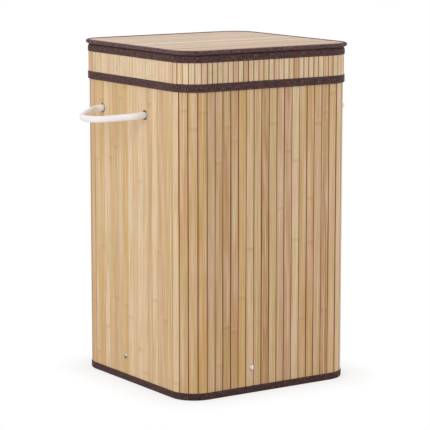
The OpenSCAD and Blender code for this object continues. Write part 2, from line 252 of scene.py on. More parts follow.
def white_floor():
    """Matt white paper near the hamper, plain white for camera and mirror rays further out.
    The distance from the foot is the length of what is left of a point's x and y, once the
    straight half of a side is taken off. The paper also glows a little at the foot, which is
    painted light that thins the shadow out to a soft line."""
    material, tree, beside = fresh("matt_white_paper_floor", uv=False)
    inner, middle = (foot_straight, foot_straight, 0.0), (0.0, 0.0, 0.0)
    for operation, other in (("ABSOLUTE", middle), ("SUBTRACT", inner), ("MAXIMUM", middle)):
        beside = add(tree, "VectorMath", {0: beside, 1: other}, operation=operation).outputs[0]
    away = add(tree, "VectorMath", {0: beside}, operation="LENGTH").outputs["Value"]
    far = spread(tree, away, foot_round, foot_round + fade_reach, paper_glow, 1.0)
    share = maths(tree, "MULTIPLY", far, seen_ray(tree))
    paper = add(tree, "BsdfDiffuse", {"Color": linear("#fbfbfb")})
    glow = add(tree, "Emission", {"Color": linear("#ffffff"), "Strength": 1.0})
    both = add(tree, "MixShader", {0: share, 1: paper.outputs[0], 2: glow.outputs[0]})
    add(tree, "OutputMaterial", {"Surface": both.outputs[0]})
    return material


floor_mesh = bpy.data.meshes.new("floor")
corners = [(x * floor_half, y * floor_half, 0.0) for x, y in ((-1, -1), (1, -1), (1, 1), (-1, 1))]
floor_mesh.from_pydata(corners, [], [(0, 1, 2, 3)])
floor_mesh.materials.append(white_floor())
floor = placed("floor", floor_mesh)

sky_strength = 0.52
world = bpy.data.worlds.new("white_studio")
world.use_nodes = True
sky = world.node_tree
sky.nodes.clear()
level = spread(sky, seen_ray(sky), 0.0, 1.0, sky_strength, 1.0)
backing = add(sky, "Background", {"Color": linear("#ffffff"), "Strength": level})
add(sky, "OutputWorld", {"Surface": backing.outputs[0]})
bpy.context.scene.world = world


def soft_lamp(name, direction, distance, size, share, aim):
    """A square lamp facing the hamper. Share is how much of full white it puts on a surface
    that faces it, which takes a power of share times pi squared times the distance squared."""
    data = bpy.data.lights.new(name, "AREA")
    data.shape = "SQUARE"
    data.size = size
    data.energy = share * math.pi ** 2 * distance ** 2
    way = unit(np.array(direction))
    lamp = placed(name, data)
    lamp.location = np.array(aim) + way * distance
    lamp.rotation_euler = (math.acos(way[2]), 0.0, math.atan2(way[0], -way[1]))


soft_lamp("key_left", (-0.86, -0.26, 0.44), 1.6, 1.1, 0.39, (-0.17, -0.05, 0.42))
soft_lamp("fill_right_front", (0.66, -0.70, 0.30), 0.9, 0.7, 0.28, (0.19, -0.17, 0.40))
soft_lamp("top", (-0.1, 0.1, 1.0), 2.0, 1.6, 0.26, (0.0, 0.0, 0.6))
bpy.context.scene.view_settings.view_transform = "Standard"
print("studio: 1 floor, 1 world, 3 soft lamps")

# %% [markdown]
# ## Skins from grids
# Nearly everything on a hamper is long and repeated: slats, tapes, rope. Each can be made by
# hand with bevels and arrays of modifiers, but a grid of points worked out with numpy says
# exactly what the shape is. The helper below takes many grids at once, closes them round and
# at their ends, and turns them so that their faces point outwards, by the sign of the volume.

# %% Mesh helper
def skin(name, points, uv=None, marks=None, loop=False, top=True, crease=35.0):
    """One mesh from grids of points, shaped (pieces, rows, columns, 3). The last column is
    joined to the first, and loop joins the last row to the first too. Without loop the first
    row is closed by a cap, and the last one as well unless top is false. UV has one more
    column, or row, where the grid is joined. A mark with one value for each piece is kept on
    faces, so that a drill can't smear it."""
    points = np.asarray(points, float)
    points = points.reshape((-1,) + points.shape[-3:])
    pieces, rows, cols = points.shape[:3]
    ids = np.arange(pieces * rows * cols).reshape(pieces, rows, cols)
    r = np.arange(rows if loop else rows - 1)[:, None]
    c = np.arange(cols)[None, :]
    r1, c1 = (r + 1) % rows, (c + 1) % cols
    quads = np.stack([ids[:, r, c], ids[:, r, c1], ids[:, r1, c1], ids[:, r1, c]], -1).reshape(-1, 4)
    centred = (points - points.mean(axis=(1, 2), keepdims=True)).reshape(-1, 3)
    a, b, d, e = (centred[quads[:, k]] for k in range(4))
    volume = (np.cross(a, b) * d).sum() + (np.cross(a, d) * e).sum()
    caps = [] if loop else ids[:, 0, ::-1].tolist()
    caps += ids[:, -1, :].tolist() if top and not loop else []
    inside_out = volume < 0
    faces = quads[:, ::-1].tolist() if inside_out else quads.tolist()
    faces += [f[::-1] for f in caps] if inside_out else caps
    mesh = bpy.data.meshes.new(name)
    mesh.from_pydata(points.reshape(-1, 3).tolist(), [], faces)
    if uv is not None:
        uv = np.asarray(uv, float)
        uv = uv.reshape((-1,) + uv.shape[-3:])
        full = [uv[:, r, c], uv[:, r, c + 1], uv[:, r + 1, c + 1], uv[:, r + 1, c]]
        corner = np.stack(full, -2).reshape(-1, 4, 2)
        corner = corner[:, ::-1] if inside_out else corner
        ends = uv[:, :rows, :cols].reshape(-1, 2)
        rest = [ends[f] for f in faces[len(quads):]]
        layer = mesh.uv_layers.new(name="surface")
        layer.data.foreach_set("uv", np.concatenate([corner.reshape(-1, 2), *rest]).ravel())
    for mark, values in (marks or {}).items():
        whole = values.shape == (pieces, 1, 1)
        shape = (pieces, len(quads) // pieces, 1) if whole else (pieces, rows, cols)
        each = np.broadcast_to(values, shape).ravel()
        if whole:
            each = np.concatenate([each] + [values.ravel()] * (len(caps) // pieces))
        kept = mesh.attributes.new(mark, "FLOAT", "FACE" if whole else "POINT")
        kept.data.foreach_set("value", each.astype(np.float32))
    mesh.polygons.foreach_set("use_smooth", np.ones(len(mesh.polygons), bool))
    mesh.set_sharp_from_angle(angle=math.radians(crease))
    mesh.validate()
    return placed(name, mesh)


def paint(thing, material):
    """Leaves a piece with this one material."""
    thing.data.materials.clear()
    thing.data.materials.append(material)


def finish_piece(thing, material, body, slot_name, *nodes):
    """Gives a finished piece its material, its body and the CAD nodes it stands for. Its slot_name is not
    used.
    A piece that lies between two bodies has None here, and is attached to no body."""
    paint(thing, material)
    if body:
        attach(thing, body)
    if nodes:
        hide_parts(*nodes)
    print(thing.name, "has", len(thing.data.polygons), "faces")
    return thing


# %% [markdown]
# ## The outline
# The hamper is a rounded square seen from above. Every wall slat, tape and wire follows that
# outline at its own distance from it, so one function gives points on it, the direction that
# points outwards there, and the length round to there. A piece at another distance just
# steps along the outward direction. The body's width and heights come from the CAD.

# %% Outline of the body
wall_low, wall_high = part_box("wall_slats_front")
half = -wall_low.y
corner_r = 45 * MM
wall_bottom, wall_top = wall_low.z, wall_high.z
rim_low, rim_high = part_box("rim_binding")


def turned(angle, x, y):
    """x and y turned anticlockwise round the upright axis by an angle in radians."""
    return together(np.cos(angle) * x - np.sin(angle) * y, np.sin(angle) * x + np.cos(angle) * y)


def outline(half_w=half, half_d=half, r=corner_r, straight=24, corner=14):
    """Points round a rounded rectangle from the left end of its front, anticlockwise, with the
    outward direction and the length so far. A side is a straight run, then a quarter circle
    about the corner's middle: both are a middle point plus the radius along the outward ray."""
    at, out = [], []
    for k in range(4):
        along, off = (half_w, half_d) if k % 2 == 0 else (half_d, half_w)
        turn = np.append(np.zeros(straight), np.linspace(0, math.pi / 2, corner, endpoint=False))
        ray = turned(turn, 0.0, -1.0)
        x = np.linspace(-along + r, along - r, straight, endpoint=False)
        x = np.append(x, np.full(corner, along - r))
        spot = together(x, r - off) + ray * r
        at.append(turned(k * math.pi / 2, spot[:, 0], spot[:, 1]))
        out.append(turned(k * math.pi / 2, ray[:, 0], ray[:, 1]))
    at, out = np.concatenate(at), np.concatenate(out)
    return at, out, so_far(at, closed=True)


def pulled_in(points, off):
    """Points that stand more than off outside the body's outline, moved straight back onto it.
    The distance is that of a rounded box: the length of what lies beyond the corner's middle."""
    flat = points[..., :2]
    beyond = np.maximum(np.abs(flat) - (half - corner_r), 0)
    length = np.maximum(np.linalg.norm(beyond, axis=-1, keepdims=True), 1e-9)
    excess = np.maximum(length - (corner_r + off), 0)
    moved = points.copy()
    moved[..., :2] -= np.sign(flat) * beyond / length * excess
    return moved


print("outline", round(outline()[2][-1], 3), "m round, walls", round(wall_top - wall_bottom, 3), "m high")

# %% [markdown]
# ## Bamboo, split, planed and lacquered
# A bamboo slat is a strip split from the cane's wall. Its fibres run along it as fine
# streaks, and here and there it crosses one of the cane's nodes, which shows as a thin
# darker ring with a paler one beside it. Slats come from different canes, so each has
# its own shade. The shader takes the shade and the rings from numbers stored on each slat,
# and draws the streaks from noise that is stretched along the slat's own UV map, in metres.
# A clear matt lacquer gives it a broad, weak shine.

# %% Bamboo material
def bamboo(name, shades, streak=0.5, ring_depth=0.3, rim="#92501f", broad=0.010):
    """Split bamboo under satin lacquer: a shade for each slat that drifts to straw and to rose
    along its length, streaks a few millimetres and half a millimetre wide, faint node scars
    about 12 mm high that the streaks break up, and edges painted brown as the shade in the
    gaps between slats. Broad is the width in metres over which the drift changes."""
    streak_w, hair_w = 0.0028, 0.0007
    material, tree, uv = fresh(name)
    marks = ("tone", "edge", "node_low", "node_high")
    tone, edge, *nodes = (add(tree, "Attribute", attribute_name=mark).outputs["Fac"] for mark in marks)
    body = ramp(tree, tone, *[(k / (len(shades) - 1), colour) for k, colour in enumerate(shades)])
    drift = noise(tree, uv, (1 / broad, 7.0))
    wide = noise(tree, uv, (1 / streak_w, 4.5), 3.0)
    fine = noise(tree, uv, (1 / hair_w, 22.0))
    for source, start, end, most, hue in (
        (drift, 0.49, 0.64, 0.7, "#c4a862"), (drift, 0.48, 0.35, 0.7, "#deb294"),
        (wide, 0.42, 0.72, 0.85, "#ecd9b8"), (fine, 0.52, 0.78, 0.6, "#a67c4c"),
    ):
        body = tinted(tree, spread(tree, source, start, end, 0.0, most * streak), body, hue)
    high = add(tree, "SeparateXYZ", {0: uv}).outputs["Y"]
    high = maths(tree, "MULTIPLY_ADD", wide, 0.006, high)
    broken = spread(tree, fine, 0.4, 0.6, 0.35)
    for offset, reach, part, scar in ((0.008, 0.005, 0.5, "#ead3aa"), (0.002, 0.006, 1.0, "#a0713f")):
        rings = 0.0
        for level in nodes:
            away = maths(tree, "SUBTRACT", maths(tree, "SUBTRACT", high, level), offset)
            away = maths(tree, "ABSOLUTE", away)
            rings = maths(tree, "ADD", rings, spread(
                tree, away, 0.0, reach, ring_depth * part, 0.0, interpolation_type="SMOOTHSTEP"))
        rings = maths(tree, "MULTIPLY", rings, broken)
        body = tinted(tree, rings, body, scar)
    # Painted shade: the slats' edges take the edge colour, so the gaps between slats show dark.
    body = tinted(tree, edge, body, rim)
    return surfaced(
        material, body, spread(tree, wide, 0.0, 1.0, 0.42, 0.6), maths(tree, "SUBTRACT", fine, rings),
        0.25, 0.4, IOR=1.48, Specular_IOR_Level=spread(tree, edge, 0.0, 1.0, 0.35, 0.05))


wall_shades = ("#ac7444", "#d9b27e", "#c4906c", "#d6a862", "#cfa482", "#ccaa6c", "#e3c09c", "#d8b278",
               "#ecd0b0", "#dcc088")
collar_shades = ("#c89470", "#e2c298", "#d0a484", "#dcc090", "#e2c0a0", "#eed6b2", "#e0bc9a", "#f4e2c6")
lid_shades = ("#b67e60", "#f4e6d6", "#d0a48c", "#faf0e4", "#cbac90", "#f2e0ce")
# Each bamboo's edge colour, the default one or the lid's third colour, is painted shade for the gaps between
# slats.
wall_bamboo = bamboo("lacquered_split_bamboo_wall", wall_shades, 0.8, 0.26)
collar_bamboo = bamboo("lacquered_split_bamboo_collar", collar_shades, 0.9, 0.12, broad=0.006)
lid_bamboo = bamboo("lacquered_split_bamboo_lid", lid_shades, 0.6, 0.1, "#a87c58", 0.02)
print("bamboo materials: wall, collar and lid")

# %% [markdown]
# ## Wall slats
# The wall is one mat of 82 slats glued to cloth. A slat could be a bevelled box, copied by an
# array along a curve, but real ones differ: the gaps open and close, a slat bows a little,
# swells at its nodes, and has edges eased by sanding. So each slat is a closed profile
# carried up a line of heights, and all slats are worked out in one array.
# At a corner the flat slats lie against the rounded outline, which opens the gaps between
# their faces into the dark upright lines that a bamboo hamper has at its corners.

# %% Shape of a slat
dice = np.random.default_rng(11)
slat_apart = 0.037
wide_gap, ease = 1.3 * MM, 0.3 * MM
# Partly the mat's own variety and partly painted light and shade: the side walls draw their slats from the
# paler part of the shades, the front, back and corners from the darker part, as the left wall is lit and the
# front lies in shade.
lit_side_tones, shaded_front_tones = (0.3, 1.0), (0.0, 0.86)
lower_node, upper_node, hidden_nodes = (0.04, 0.48), (0.54, 0.98), 0.4


def slat_track(off, thickness, pitch, shift):
    """Places of the slats on a rounded square track: the outer face's middle, the direction
    along the wall and outwards, the stretch it lies on, and the slat's share of the track.
    A slat's length along the track is the first one's plus a whole number of equal steps."""
    rho = corner_r + off - thickness
    runs = np.tile([2 * (half - corner_r), math.pi / 2 * rho], 4)
    count = round(runs.sum() / pitch)
    step = runs.sum() / count
    s = (runs[0] / 2 + shift + np.arange(count) * step) % runs.sum()
    ends = np.cumsum(runs)
    stretch = np.searchsorted(ends, s, side="right")
    s = s - (ends - runs)[stretch]
    straight = stretch % 2 == 0
    side = (stretch // 2) * math.pi / 2
    angle = side + np.where(straight, 0.0, s / rho)
    along, out = turned(angle, 1.0, 0.0), turned(angle, 0.0, -1.0)
    flat = turned(side, s - half + corner_r, -half - off)
    round_face = turned(side, half - corner_r, corner_r - half) + out * (corner_r + off)
    return np.where(straight[:, None], flat, round_face), along, out, stretch, step


def slat_profile(thickness, crown):
    """A slat's cross-section as shares of its half width and as depths behind its face: a
    face crowned like a shallow arch, rounded edges, and a flat back."""
    face = np.linspace(-1, 1, 7)
    across = np.concatenate([[-1.0, -1.0], face, [1.0, 1.0]])
    depth = np.concatenate([[-thickness, -ease], crown * (1 - face ** 2), [-ease, -thickness]])
    pull = np.concatenate([[0, 0, ease], np.zeros(5), [ease, 0, 0]])
    # Edge marks the slat's sides, where the bamboo material paints the shade of the gaps.
    edge = np.concatenate([[1, 1, 0.3], np.zeros(5), [0.3, 1, 1]])
    return across, depth, pull * -np.sign(across), edge


def slow_sine(z, deep, long, phase):
    """A sine along z: deep in millimetres, long in metres to the radian."""
    return deep * MM * np.sin(z / long + phase)


def slat_uv(u, v):
    """UV in metres, every slat on its own stretch, with the first column again at the end."""
    uv = together(u + np.arange(len(u))[:, None, None] * slat_apart, v)
    return np.concatenate([uv, uv[:, :, :1]], 2)


def slat_marks(tone, edge, nodes):
    """The numbers that the bamboo material reads: a slat's tone, its edges, where the gaps' painted shade
    goes, and its nodes.
    """
    tone, low, high = (value[:, None, None] for value in (tone, nodes[:, 0], nodes[:, 1]))
    return {"tone": tone, "edge": edge, "node_low": low, "node_high": high}


# %% [markdown]
# ### The mat
# All slats of the wall are made at once and split into one mesh for each side and corner.
# Where missing is true a slat shows no node, as when it was cut between two of them.

# %% Slats round a wall
def slats_round(prefix, off, thickness, pitch, shift, low, high, gaps, tight, swell, groups, finish):
    """All slats of a wall or collar, one mesh for each group of stretches. A slat's middle
    line bows by a slow sine, and its face swells at its nodes by a bell curve: one node lies in
    its lower half and one in its upper. The bow and the eased edges shrink with the gap, so
    slats that lie tight never run into each other."""
    middle, along, out, stretch, step = slat_track(off, thickness, pitch, shift)
    count = len(middle)
    loose = np.array([1.0, 0.8, tight, 0.8, 1.0, 0.8, tight, 0.8])[stretch]
    gap = loose * between(*gaps, dice.random(count) ** 1.5)
    sway = (gap / wide_gap)[:, None]
    # Painted light and shade as well as variety: paler tones on the side walls, darker ones elsewhere.
    tones = [between(*span, dice.random(count)) for span in (lit_side_tones, shaded_front_tones)]
    tone = np.where(np.isin(stretch, (2, 6)), *tones)
    shares = [between(*span, dice.random(count)) for span in (lower_node, upper_node)]
    nodes = between(low, high, np.stack(shares, 1))
    missing = dice.random((count, 2)) < hidden_nodes
    around_node = MM * np.array([-6, -3, -1, 1, 3, 6])
    extra = np.clip((nodes[:, :, None] + around_node).reshape(count, -1), low + MM, high - MM)
    z = np.sort(np.concatenate([np.tile(np.linspace(low, high, 22), (count, 1)), extra], 1), 1)
    across, depth, pull, edge = slat_profile(thickness, 0.12 * MM)
    width = (step - gap)[:, None] / 2
    phase = dice.random((count, 2)) * 2 * math.pi
    bow = slow_sine(z, 0.22, 0.21, phase[:, :1]) + slow_sine(z, 0.1, 0.055, phase[:, 1:])
    taper = slow_sine(z, 0.15, 0.16, phase[:, 1:])
    eased = np.minimum(loose, 1.0)[:, None, None]
    a = across * (width + taper * sway)[:, :, None] + pull * eased + (bow * sway)[:, :, None]
    near = np.exp(-((z[:, :, None] - nodes[:, None]) / (3 * MM)) ** 2) * ~missing[:, None]
    lift = swell * near.sum(-1)
    d = depth[None, None] + lift[:, :, None] * (depth > -thickness / 2)
    xy = middle[:, None, None] + along[:, None, None] * a[..., None] + out[:, None, None] * d[..., None]
    points = raised(xy, z[:, :, None])
    faces_out = depth > -thickness / 2
    points[:, :, faces_out] = pulled_in(points[:, :, faces_out], off + swell + 0.12 * MM)
    uv = slat_uv(a, z[:, :, None])
    # The edge mark, and so the painted shade of the gaps, is weaker where the slats lie tight.
    marks = slat_marks(tone, edge * eased, np.where(missing, -1.0, nodes))
    made = {}
    for name, (stretches, cad_node) in groups.items():
        pick = np.isin(stretch, stretches)
        made[name] = skin(prefix + name, points[pick], uv[pick], {m: v[pick] for m, v in marks.items()})
        finish_piece(made[name], finish[0], "hamper", finish[1], cad_node)
    return made


sides = ("front", "right", "back", "left")
bends = ("front_right", "back_right", "back_left", "front_left")
wall_t = 2.0 * MM
wall_groups = {side: ([2 * k], "wall_slats_" + side) for k, side in enumerate(sides)}
wall_groups |= {"corner_" + bend: ([2 * k + 1], "corner_slats_" + bend) for k, bend in enumerate(bends)}
walls = slats_round("bamboo_wall_", 0.0, wall_t, 16 * MM, 3.1 * MM, wall_bottom, wall_top,
                    (0.5 * MM, wide_gap), 0.1, 0.08 * MM, wall_groups, (wall_bamboo, "wall_bamboo"))

collar_low, collar_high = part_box("collar_slats_front")
collar_face = -collar_low.y - half
collar_top = collar_high.z - 1.6 * MM
collar_groups = {side: ([2 * k], "collar_slats_" + side) for k, side in enumerate(sides)}
collar_groups["corners"] = ([1, 3, 5, 7], "collar_corner_slats")
slats_round("bamboo_collar_", collar_face, 1.2 * MM, 10.5 * MM, -2.0 * MM, collar_low.z, collar_top,
            (0.4 * MM, 1.1 * MM), 0.22, 0.0, collar_groups, (collar_bamboo, "collar_bamboo"))

# %% [markdown]
# ## Lid slats
# On the lid the slats run from side to side and are trimmed to its round corners, under the
# rolled tape. Here the profile is carried along a line whose two ends follow the lid's
# outline, so a slat near a corner has slanted ends, as if cut with a knife.

# %% Slats on the lid
lid_low, lid_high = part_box("lid_slats")
lid_r = 43.0 * MM
lid_mid_y = (lid_low.y + lid_high.y) / 2


def lid_reach(y):
    """How far the lid's slats reach to each side at a place from front to back: all the way,
    less what the round corner takes off there, which is r minus the root of r2 - over2."""
    over = np.clip(np.abs(y - lid_mid_y) - ((lid_high.y - lid_low.y) / 2 - lid_r), 0, lid_r)
    return lid_high.x - lid_r + np.sqrt(lid_r ** 2 - over ** 2)


def slats_on_lid(count=23, gap=0.8 * MM, thickness=2.0 * MM):
    """Slats side by side from front to back, each a profile carried from left to right."""
    uv_start, node_reach = 0.3, 0.13
    step = (lid_high.y - lid_low.y) / count
    across, depth, pull, edge = slat_profile(thickness, 0.1 * MM)
    share = np.linspace(-1, 1, 26)
    middle = lid_low.y + (np.arange(count) + 0.5) * step
    width = (step - gap * between(0.7, 1.3, dice.random(count))) / 2
    y = middle[:, None, None] + across * width[:, None, None] + pull
    x = share[None, :, None] * lid_reach(np.clip(y, lid_low.y, lid_high.y))
    nodes = uv_start + between(-node_reach, node_reach, dice.random((count, 2)))
    tone = dice.random(count)
    nodes[dice.random(count) < 0.5, 1] = -1.0
    points = together(x, y, lid_high.z + depth)
    # The lid's slats carry their edge mark whole, for the painted shade of their gaps.
    return skin("bamboo_lid_top", points, slat_uv(y, x + uv_start), slat_marks(tone, edge[None, None], nodes))


finish_piece(slats_on_lid(), lid_bamboo, "lid", "lid_bamboo", "lid_slats")

# %% [markdown]
# ## Binding tape
# Three dark tapes hold the mat together: one folded under the foot, one round the lower edge
# of the collar and one over the rim. They are woven cotton, dyed brown, and sewn on.
# A tape is the same closed profile all the way round, so a profile is carried round the
# outline. To look like cloth rather than plastic it needs a little swell between its
# stitches, a slow waviness along its length, and the mottled look of a coarse weave.

# %% Woven cotton tape material
def woven_tape(name, base, light, dark, sheen=0.15):
    """Dyed cotton tape. Its threads are half a millimetre thick, too fine to show from here,
    so the weave is drawn as slubs 1.6 mm wide along the tape and 1.4 mm wide across it."""
    material, tree, uv = fresh(name)
    thread = maths(tree, "ADD", noise(tree, uv, (90.0, 620.0)), noise(tree, uv, (700.0, 160.0)))
    body = ramp(tree, spread(tree, thread, 0.72, 1.28), (0.0, dark), (0.5, base), (1.0, light))
    return surfaced(material, body, 0.82, thread, 0.5, 0.6, Specular_IOR_Level=0.25, Sheen_Weight=sheen,
                    Sheen_Roughness=0.5, Sheen_Tint=linear("#b89c9a"))


# The foot and lid tapes are copies of the wall tape: the foot one darker, as painted shade low by the floor,
# and the lid one lighter, as painted light on the lid's roll.
foot_tape = woven_tape("cotton_tape_foot_painted_shade", "#3f2827", "#644a46", "#221514")
binding_tape = woven_tape("dyed_cotton_tape_wall", "#48302e", "#725551", "#261817")
lid_tape = woven_tape("cotton_tape_lid_painted_light", "#543b3b", "#826464", "#302121", 0.35)

# %% [markdown]
# ### A profile carried round
# A tape's profile is drawn as a line of (out, height) in straight legs and arcs, given its
# thickness by stepping off to both sides, and then carried round the outline.

# %% Tape round the body
def arc(middle_x, middle_y, r, start, end, steps=5):
    """Points on an arc, with angles in degrees anticlockwise from the x axis."""
    a = np.radians(np.linspace(start, end, steps))
    return together(middle_x + r * np.cos(a), middle_y + r * np.sin(a))


def ribbon(line, thickness):
    """Closed outline of a strip: a line of points stepped to one side by half the thickness,
    then back along the other side, with a blunt point at each end."""
    way = unit(np.gradient(line, axis=0))
    side = together(-way[:, 1], way[:, 0]) * thickness / 2
    head, tail = line[-1] + way[-1] * thickness * 0.3, line[0] - way[0] * thickness * 0.3
    return np.concatenate([line + side, head[None], (line - side)[::-1], tail[None]])


def upright(off, low, high, swell, steps=9):
    """A tape's upright leg as points (out, height), bulging outwards like a shallow sine."""
    t = np.linspace(0, 1, steps)
    return together(off + swell * np.sin(math.pi * t), between(low, high, t))


def carried_round(name, profile, path=None, wave=0.12 * MM):
    """A closed profile of (out, height) carried once round an outline. The tape's face moves
    in and out by two slow sines that fit the way round a whole number of times."""
    at, out, length = path or outline()
    turns = 2 * math.pi * length[:-1, None] / length[-1]
    ripple = wave * (np.sin(23 * turns) + 0.6 * np.sin(57 * turns + 1.0))
    off = profile[:, 0] + ripple
    points = raised(at[:, None] + out[:, None] * off[..., None], profile[:, 1])
    uv = together(length[:, None], so_far(profile, closed=True))
    return skin(name, points, uv, loop=True, crease=50.0)


def sewn_on(name, line, material, slot_name, node):
    """A tape from the line of its profile, finished as a piece of the body."""
    finish_piece(carried_round(name, ribbon(line, tape_t)), material, "hamper", slot_name, node)


# %% [markdown]
# ### Three tapes
# The foot tape is a U round the mat's lower edge, the collar tape an L turned in under the
# slats, and the rim tape an arch over the wire hoop.

# %% Foot, collar and rim tapes
tape_t = 0.8 * MM
foot_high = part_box("foot_binding")[1].z
foot_in = -3.35 * MM
fold = 1.0 * MM
foot_line = np.concatenate([
    upright(foot_in, foot_high, fold + tape_t, 0.0, 5),
    arc(foot_in + fold, fold + tape_t / 2, fold, 180, 270),
    arc(0.5 * MM - fold, fold + tape_t / 2, fold, 270, 360),
    upright(0.5 * MM, fold + tape_t, foot_high - 0.2 * MM, 0.35 * MM),
])
# The foot tape's darker colour is painted shade.
sewn_on("cotton_tape_foot", foot_line, foot_tape, "foot_tape", "foot_binding")

collar_band_low, collar_band_high = (p.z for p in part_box("collar_binding"))
band_off = -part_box("collar_binding")[0].y - half - tape_t / 2
collar_line = np.concatenate([
    np.array([[0.55 * MM, collar_band_low + tape_t / 2]]),
    arc(band_off - fold, collar_band_low + fold + tape_t / 2, fold, 270, 360),
    upright(band_off, collar_band_low + fold + tape_t, collar_band_high - 0.2 * MM, 0.3 * MM),
])
sewn_on("cotton_tape_collar", collar_line, binding_tape, "binding_tape", "collar_binding")

rim_in = -7.45 * MM
rim_fold = 3.0 * MM
rim_bend = rim_high.z - rim_fold - tape_t / 2 - 0.3 * MM
rim_line = np.concatenate([
    upright(band_off, rim_low.z + 0.2 * MM, rim_bend - tape_t / 2, 0.3 * MM),
    arc(band_off - rim_fold, rim_bend, rim_fold, 0, 90),
    arc(rim_in + rim_fold, rim_bend, rim_fold, 90, 180),
    upright(rim_in, rim_bend - tape_t / 2, rim_low.z + 0.4 * MM, 0.0, 5),
])
sewn_on("cotton_tape_rim", rim_line, binding_tape, "binding_tape", "rim_binding")

# %% [markdown]
# ## Stitching
# The tapes are sewn on by machine, with one stitch after another a little over 4 mm apart.
# Each stitch is a short thread that rises out of the cloth and dives back into it. With
# some 300 stitches to a row, each has only 22 faces, from five rings of five points.

# %% Stitch rows
def sewn_row(name, line, face, stitch=3.0 * MM, pitch=4.25 * MM, r=0.36 * MM):
    """Stitches along a closed line of points. Face is the direction the cloth faces at each
    point. A stitch's height above the cloth is an arch, and so is its thickness."""
    ring = np.concatenate([line, line[:1]])
    facing = np.concatenate([face, face[:1]])
    s = so_far(ring)
    count = round(s[-1] / pitch)
    t = np.linspace(0, 1, 5)
    where = (np.arange(count)[:, None] * s[-1] / count + t * stitch) % s[-1]
    spot, up = (together(*(np.interp(where, s, part) for part in v.T)) for v in (ring, facing))
    side = unit(np.cross(np.gradient(spot, axis=1), up))
    arch = np.sqrt(1 - 0.92 * (2 * t - 1) ** 2)
    lift = (arch - 0.6) * r
    a = np.linspace(0, 2 * math.pi, 5, endpoint=False)
    radius = (r * arch)[None, :, None, None]
    ray = circle(a[:, None], side[:, :, None], up[:, :, None])
    return skin(name, (spot + up * lift[:, None])[:, :, None] + radius * ray)


def level_line(off, z):
    """The outline at one distance and height, with the direction outwards, for sewing."""
    at, out, _ = outline()
    return raised(at + out * off, z), raised(out, 0.0)


def spun_thread(name, colour, dark):
    """Spun polyester thread: a little shine, and darker flecks from noise, painted as the shade where the
    twist turns under.
    """
    material, tree, place = fresh(name, uv=False)
    body = ramp(tree, noise(tree, place, 900.0, 1.0), (0.35, dark), (0.65, colour))
    return surfaced(material, body, 0.55)


brown_thread = spun_thread("spun_polyester_thread", "#6b5156", "#3a2a2e")
sewn_face = band_off + tape_t / 2 + 0.1 * MM
seam_in = 2.2 * MM
for name, off, z in (
    ("stitches_foot", 0.98 * MM, foot_high - seam_in),
    ("stitches_collar_low", sewn_face, collar_band_low + seam_in),
    ("stitches_collar_high", sewn_face, collar_band_high - seam_in),
    ("stitches_rim", sewn_face, rim_low.z + seam_in),
):
    tape = "foot_tape" if "foot" in name else "binding_tape"
    finish_piece(sewn_row(name, *level_line(off, z)), brown_thread, "hamper", tape)

# %% [markdown]
# ## Lid
# The lid is a thin board with slats on top, a cloth lining below and a tape rolled round its
# edge. The roll is the soft, slightly shiny edge that catches the light all round the lid.
# Its profile starts on top of the slats, rolls round the edge and ends under the lining. It
# tucks in more gently below than above, which leaves the dark groove between lid and rim.

# %% Lid roll and its stitching
lid_out_low, lid_out_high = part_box("lid_binding")
lid_half_w = lid_out_high.x
lid_half_d = (lid_out_high.y - lid_out_low.y) / 2
lid_edge_r = 44 * MM
roll_t = 0.9 * MM
roll_r, tuck_r, slit = 2.6 * MM, 3.6 * MM, 0.9 * MM
cover = 6.0 * MM


def lid_path():
    """The lid's outline: the body's way round, with the lid's own size and place."""
    at, out, length = outline(lid_half_w, lid_half_d, lid_edge_r)
    return at + np.array([0.0, lid_mid_y]), out, length


bottom, top = lid_out_low.z + roll_t / 2, lid_out_high.z - roll_t / 2
rolled, tucked = roll_r - roll_t / 2, tuck_r - roll_t / 2
top_dips = 0.12 * MM * np.array([2.0, 0.6, 1.2, 0.3, 0.0])
low_rises = slit * np.array([0.8, 0.5, 0.1, 0.0])
roll_line = np.concatenate([
    together(np.linspace(-cover, -roll_r - 0.6 * MM, 5), top - top_dips),
    arc(-roll_r, top - rolled, rolled, 90, 0, 7),
    arc(-tuck_r, bottom + slit + tucked, tucked, 0, -90, 8),
    together(np.linspace(-tuck_r - 0.4 * MM, -cover, 4), bottom + low_rises),
])
lid_roll = carried_round("cotton_tape_lid_roll", ribbon(roll_line, roll_t), lid_path(), 0.08 * MM)
# The lid tape's lighter colour is painted light on the roll.
finish_piece(lid_roll, lid_tape, "lid", "lid_tape", "lid_binding")

at, out, _ = lid_path()
lid_line = raised(at - out * 4.6 * MM, lid_out_high.z - 0.02 * MM)
lid_stitches = sewn_row("stitches_lid", lid_line, np.tile([0.0, 0.0, 1.0], (len(at), 1)))
finish_piece(lid_stitches, brown_thread, "lid", "lid_tape")

# %% [markdown]
# ## Hinge strip
# Along the back, a strip of the same tape is sewn to the lid's edge and to the rim, and is
# the hinge. As two stiff leaves it would tear open when the lid swings, so it is one piece of
# cloth, shaped to lie on the body below the hinge line and on the lid above it when closed.

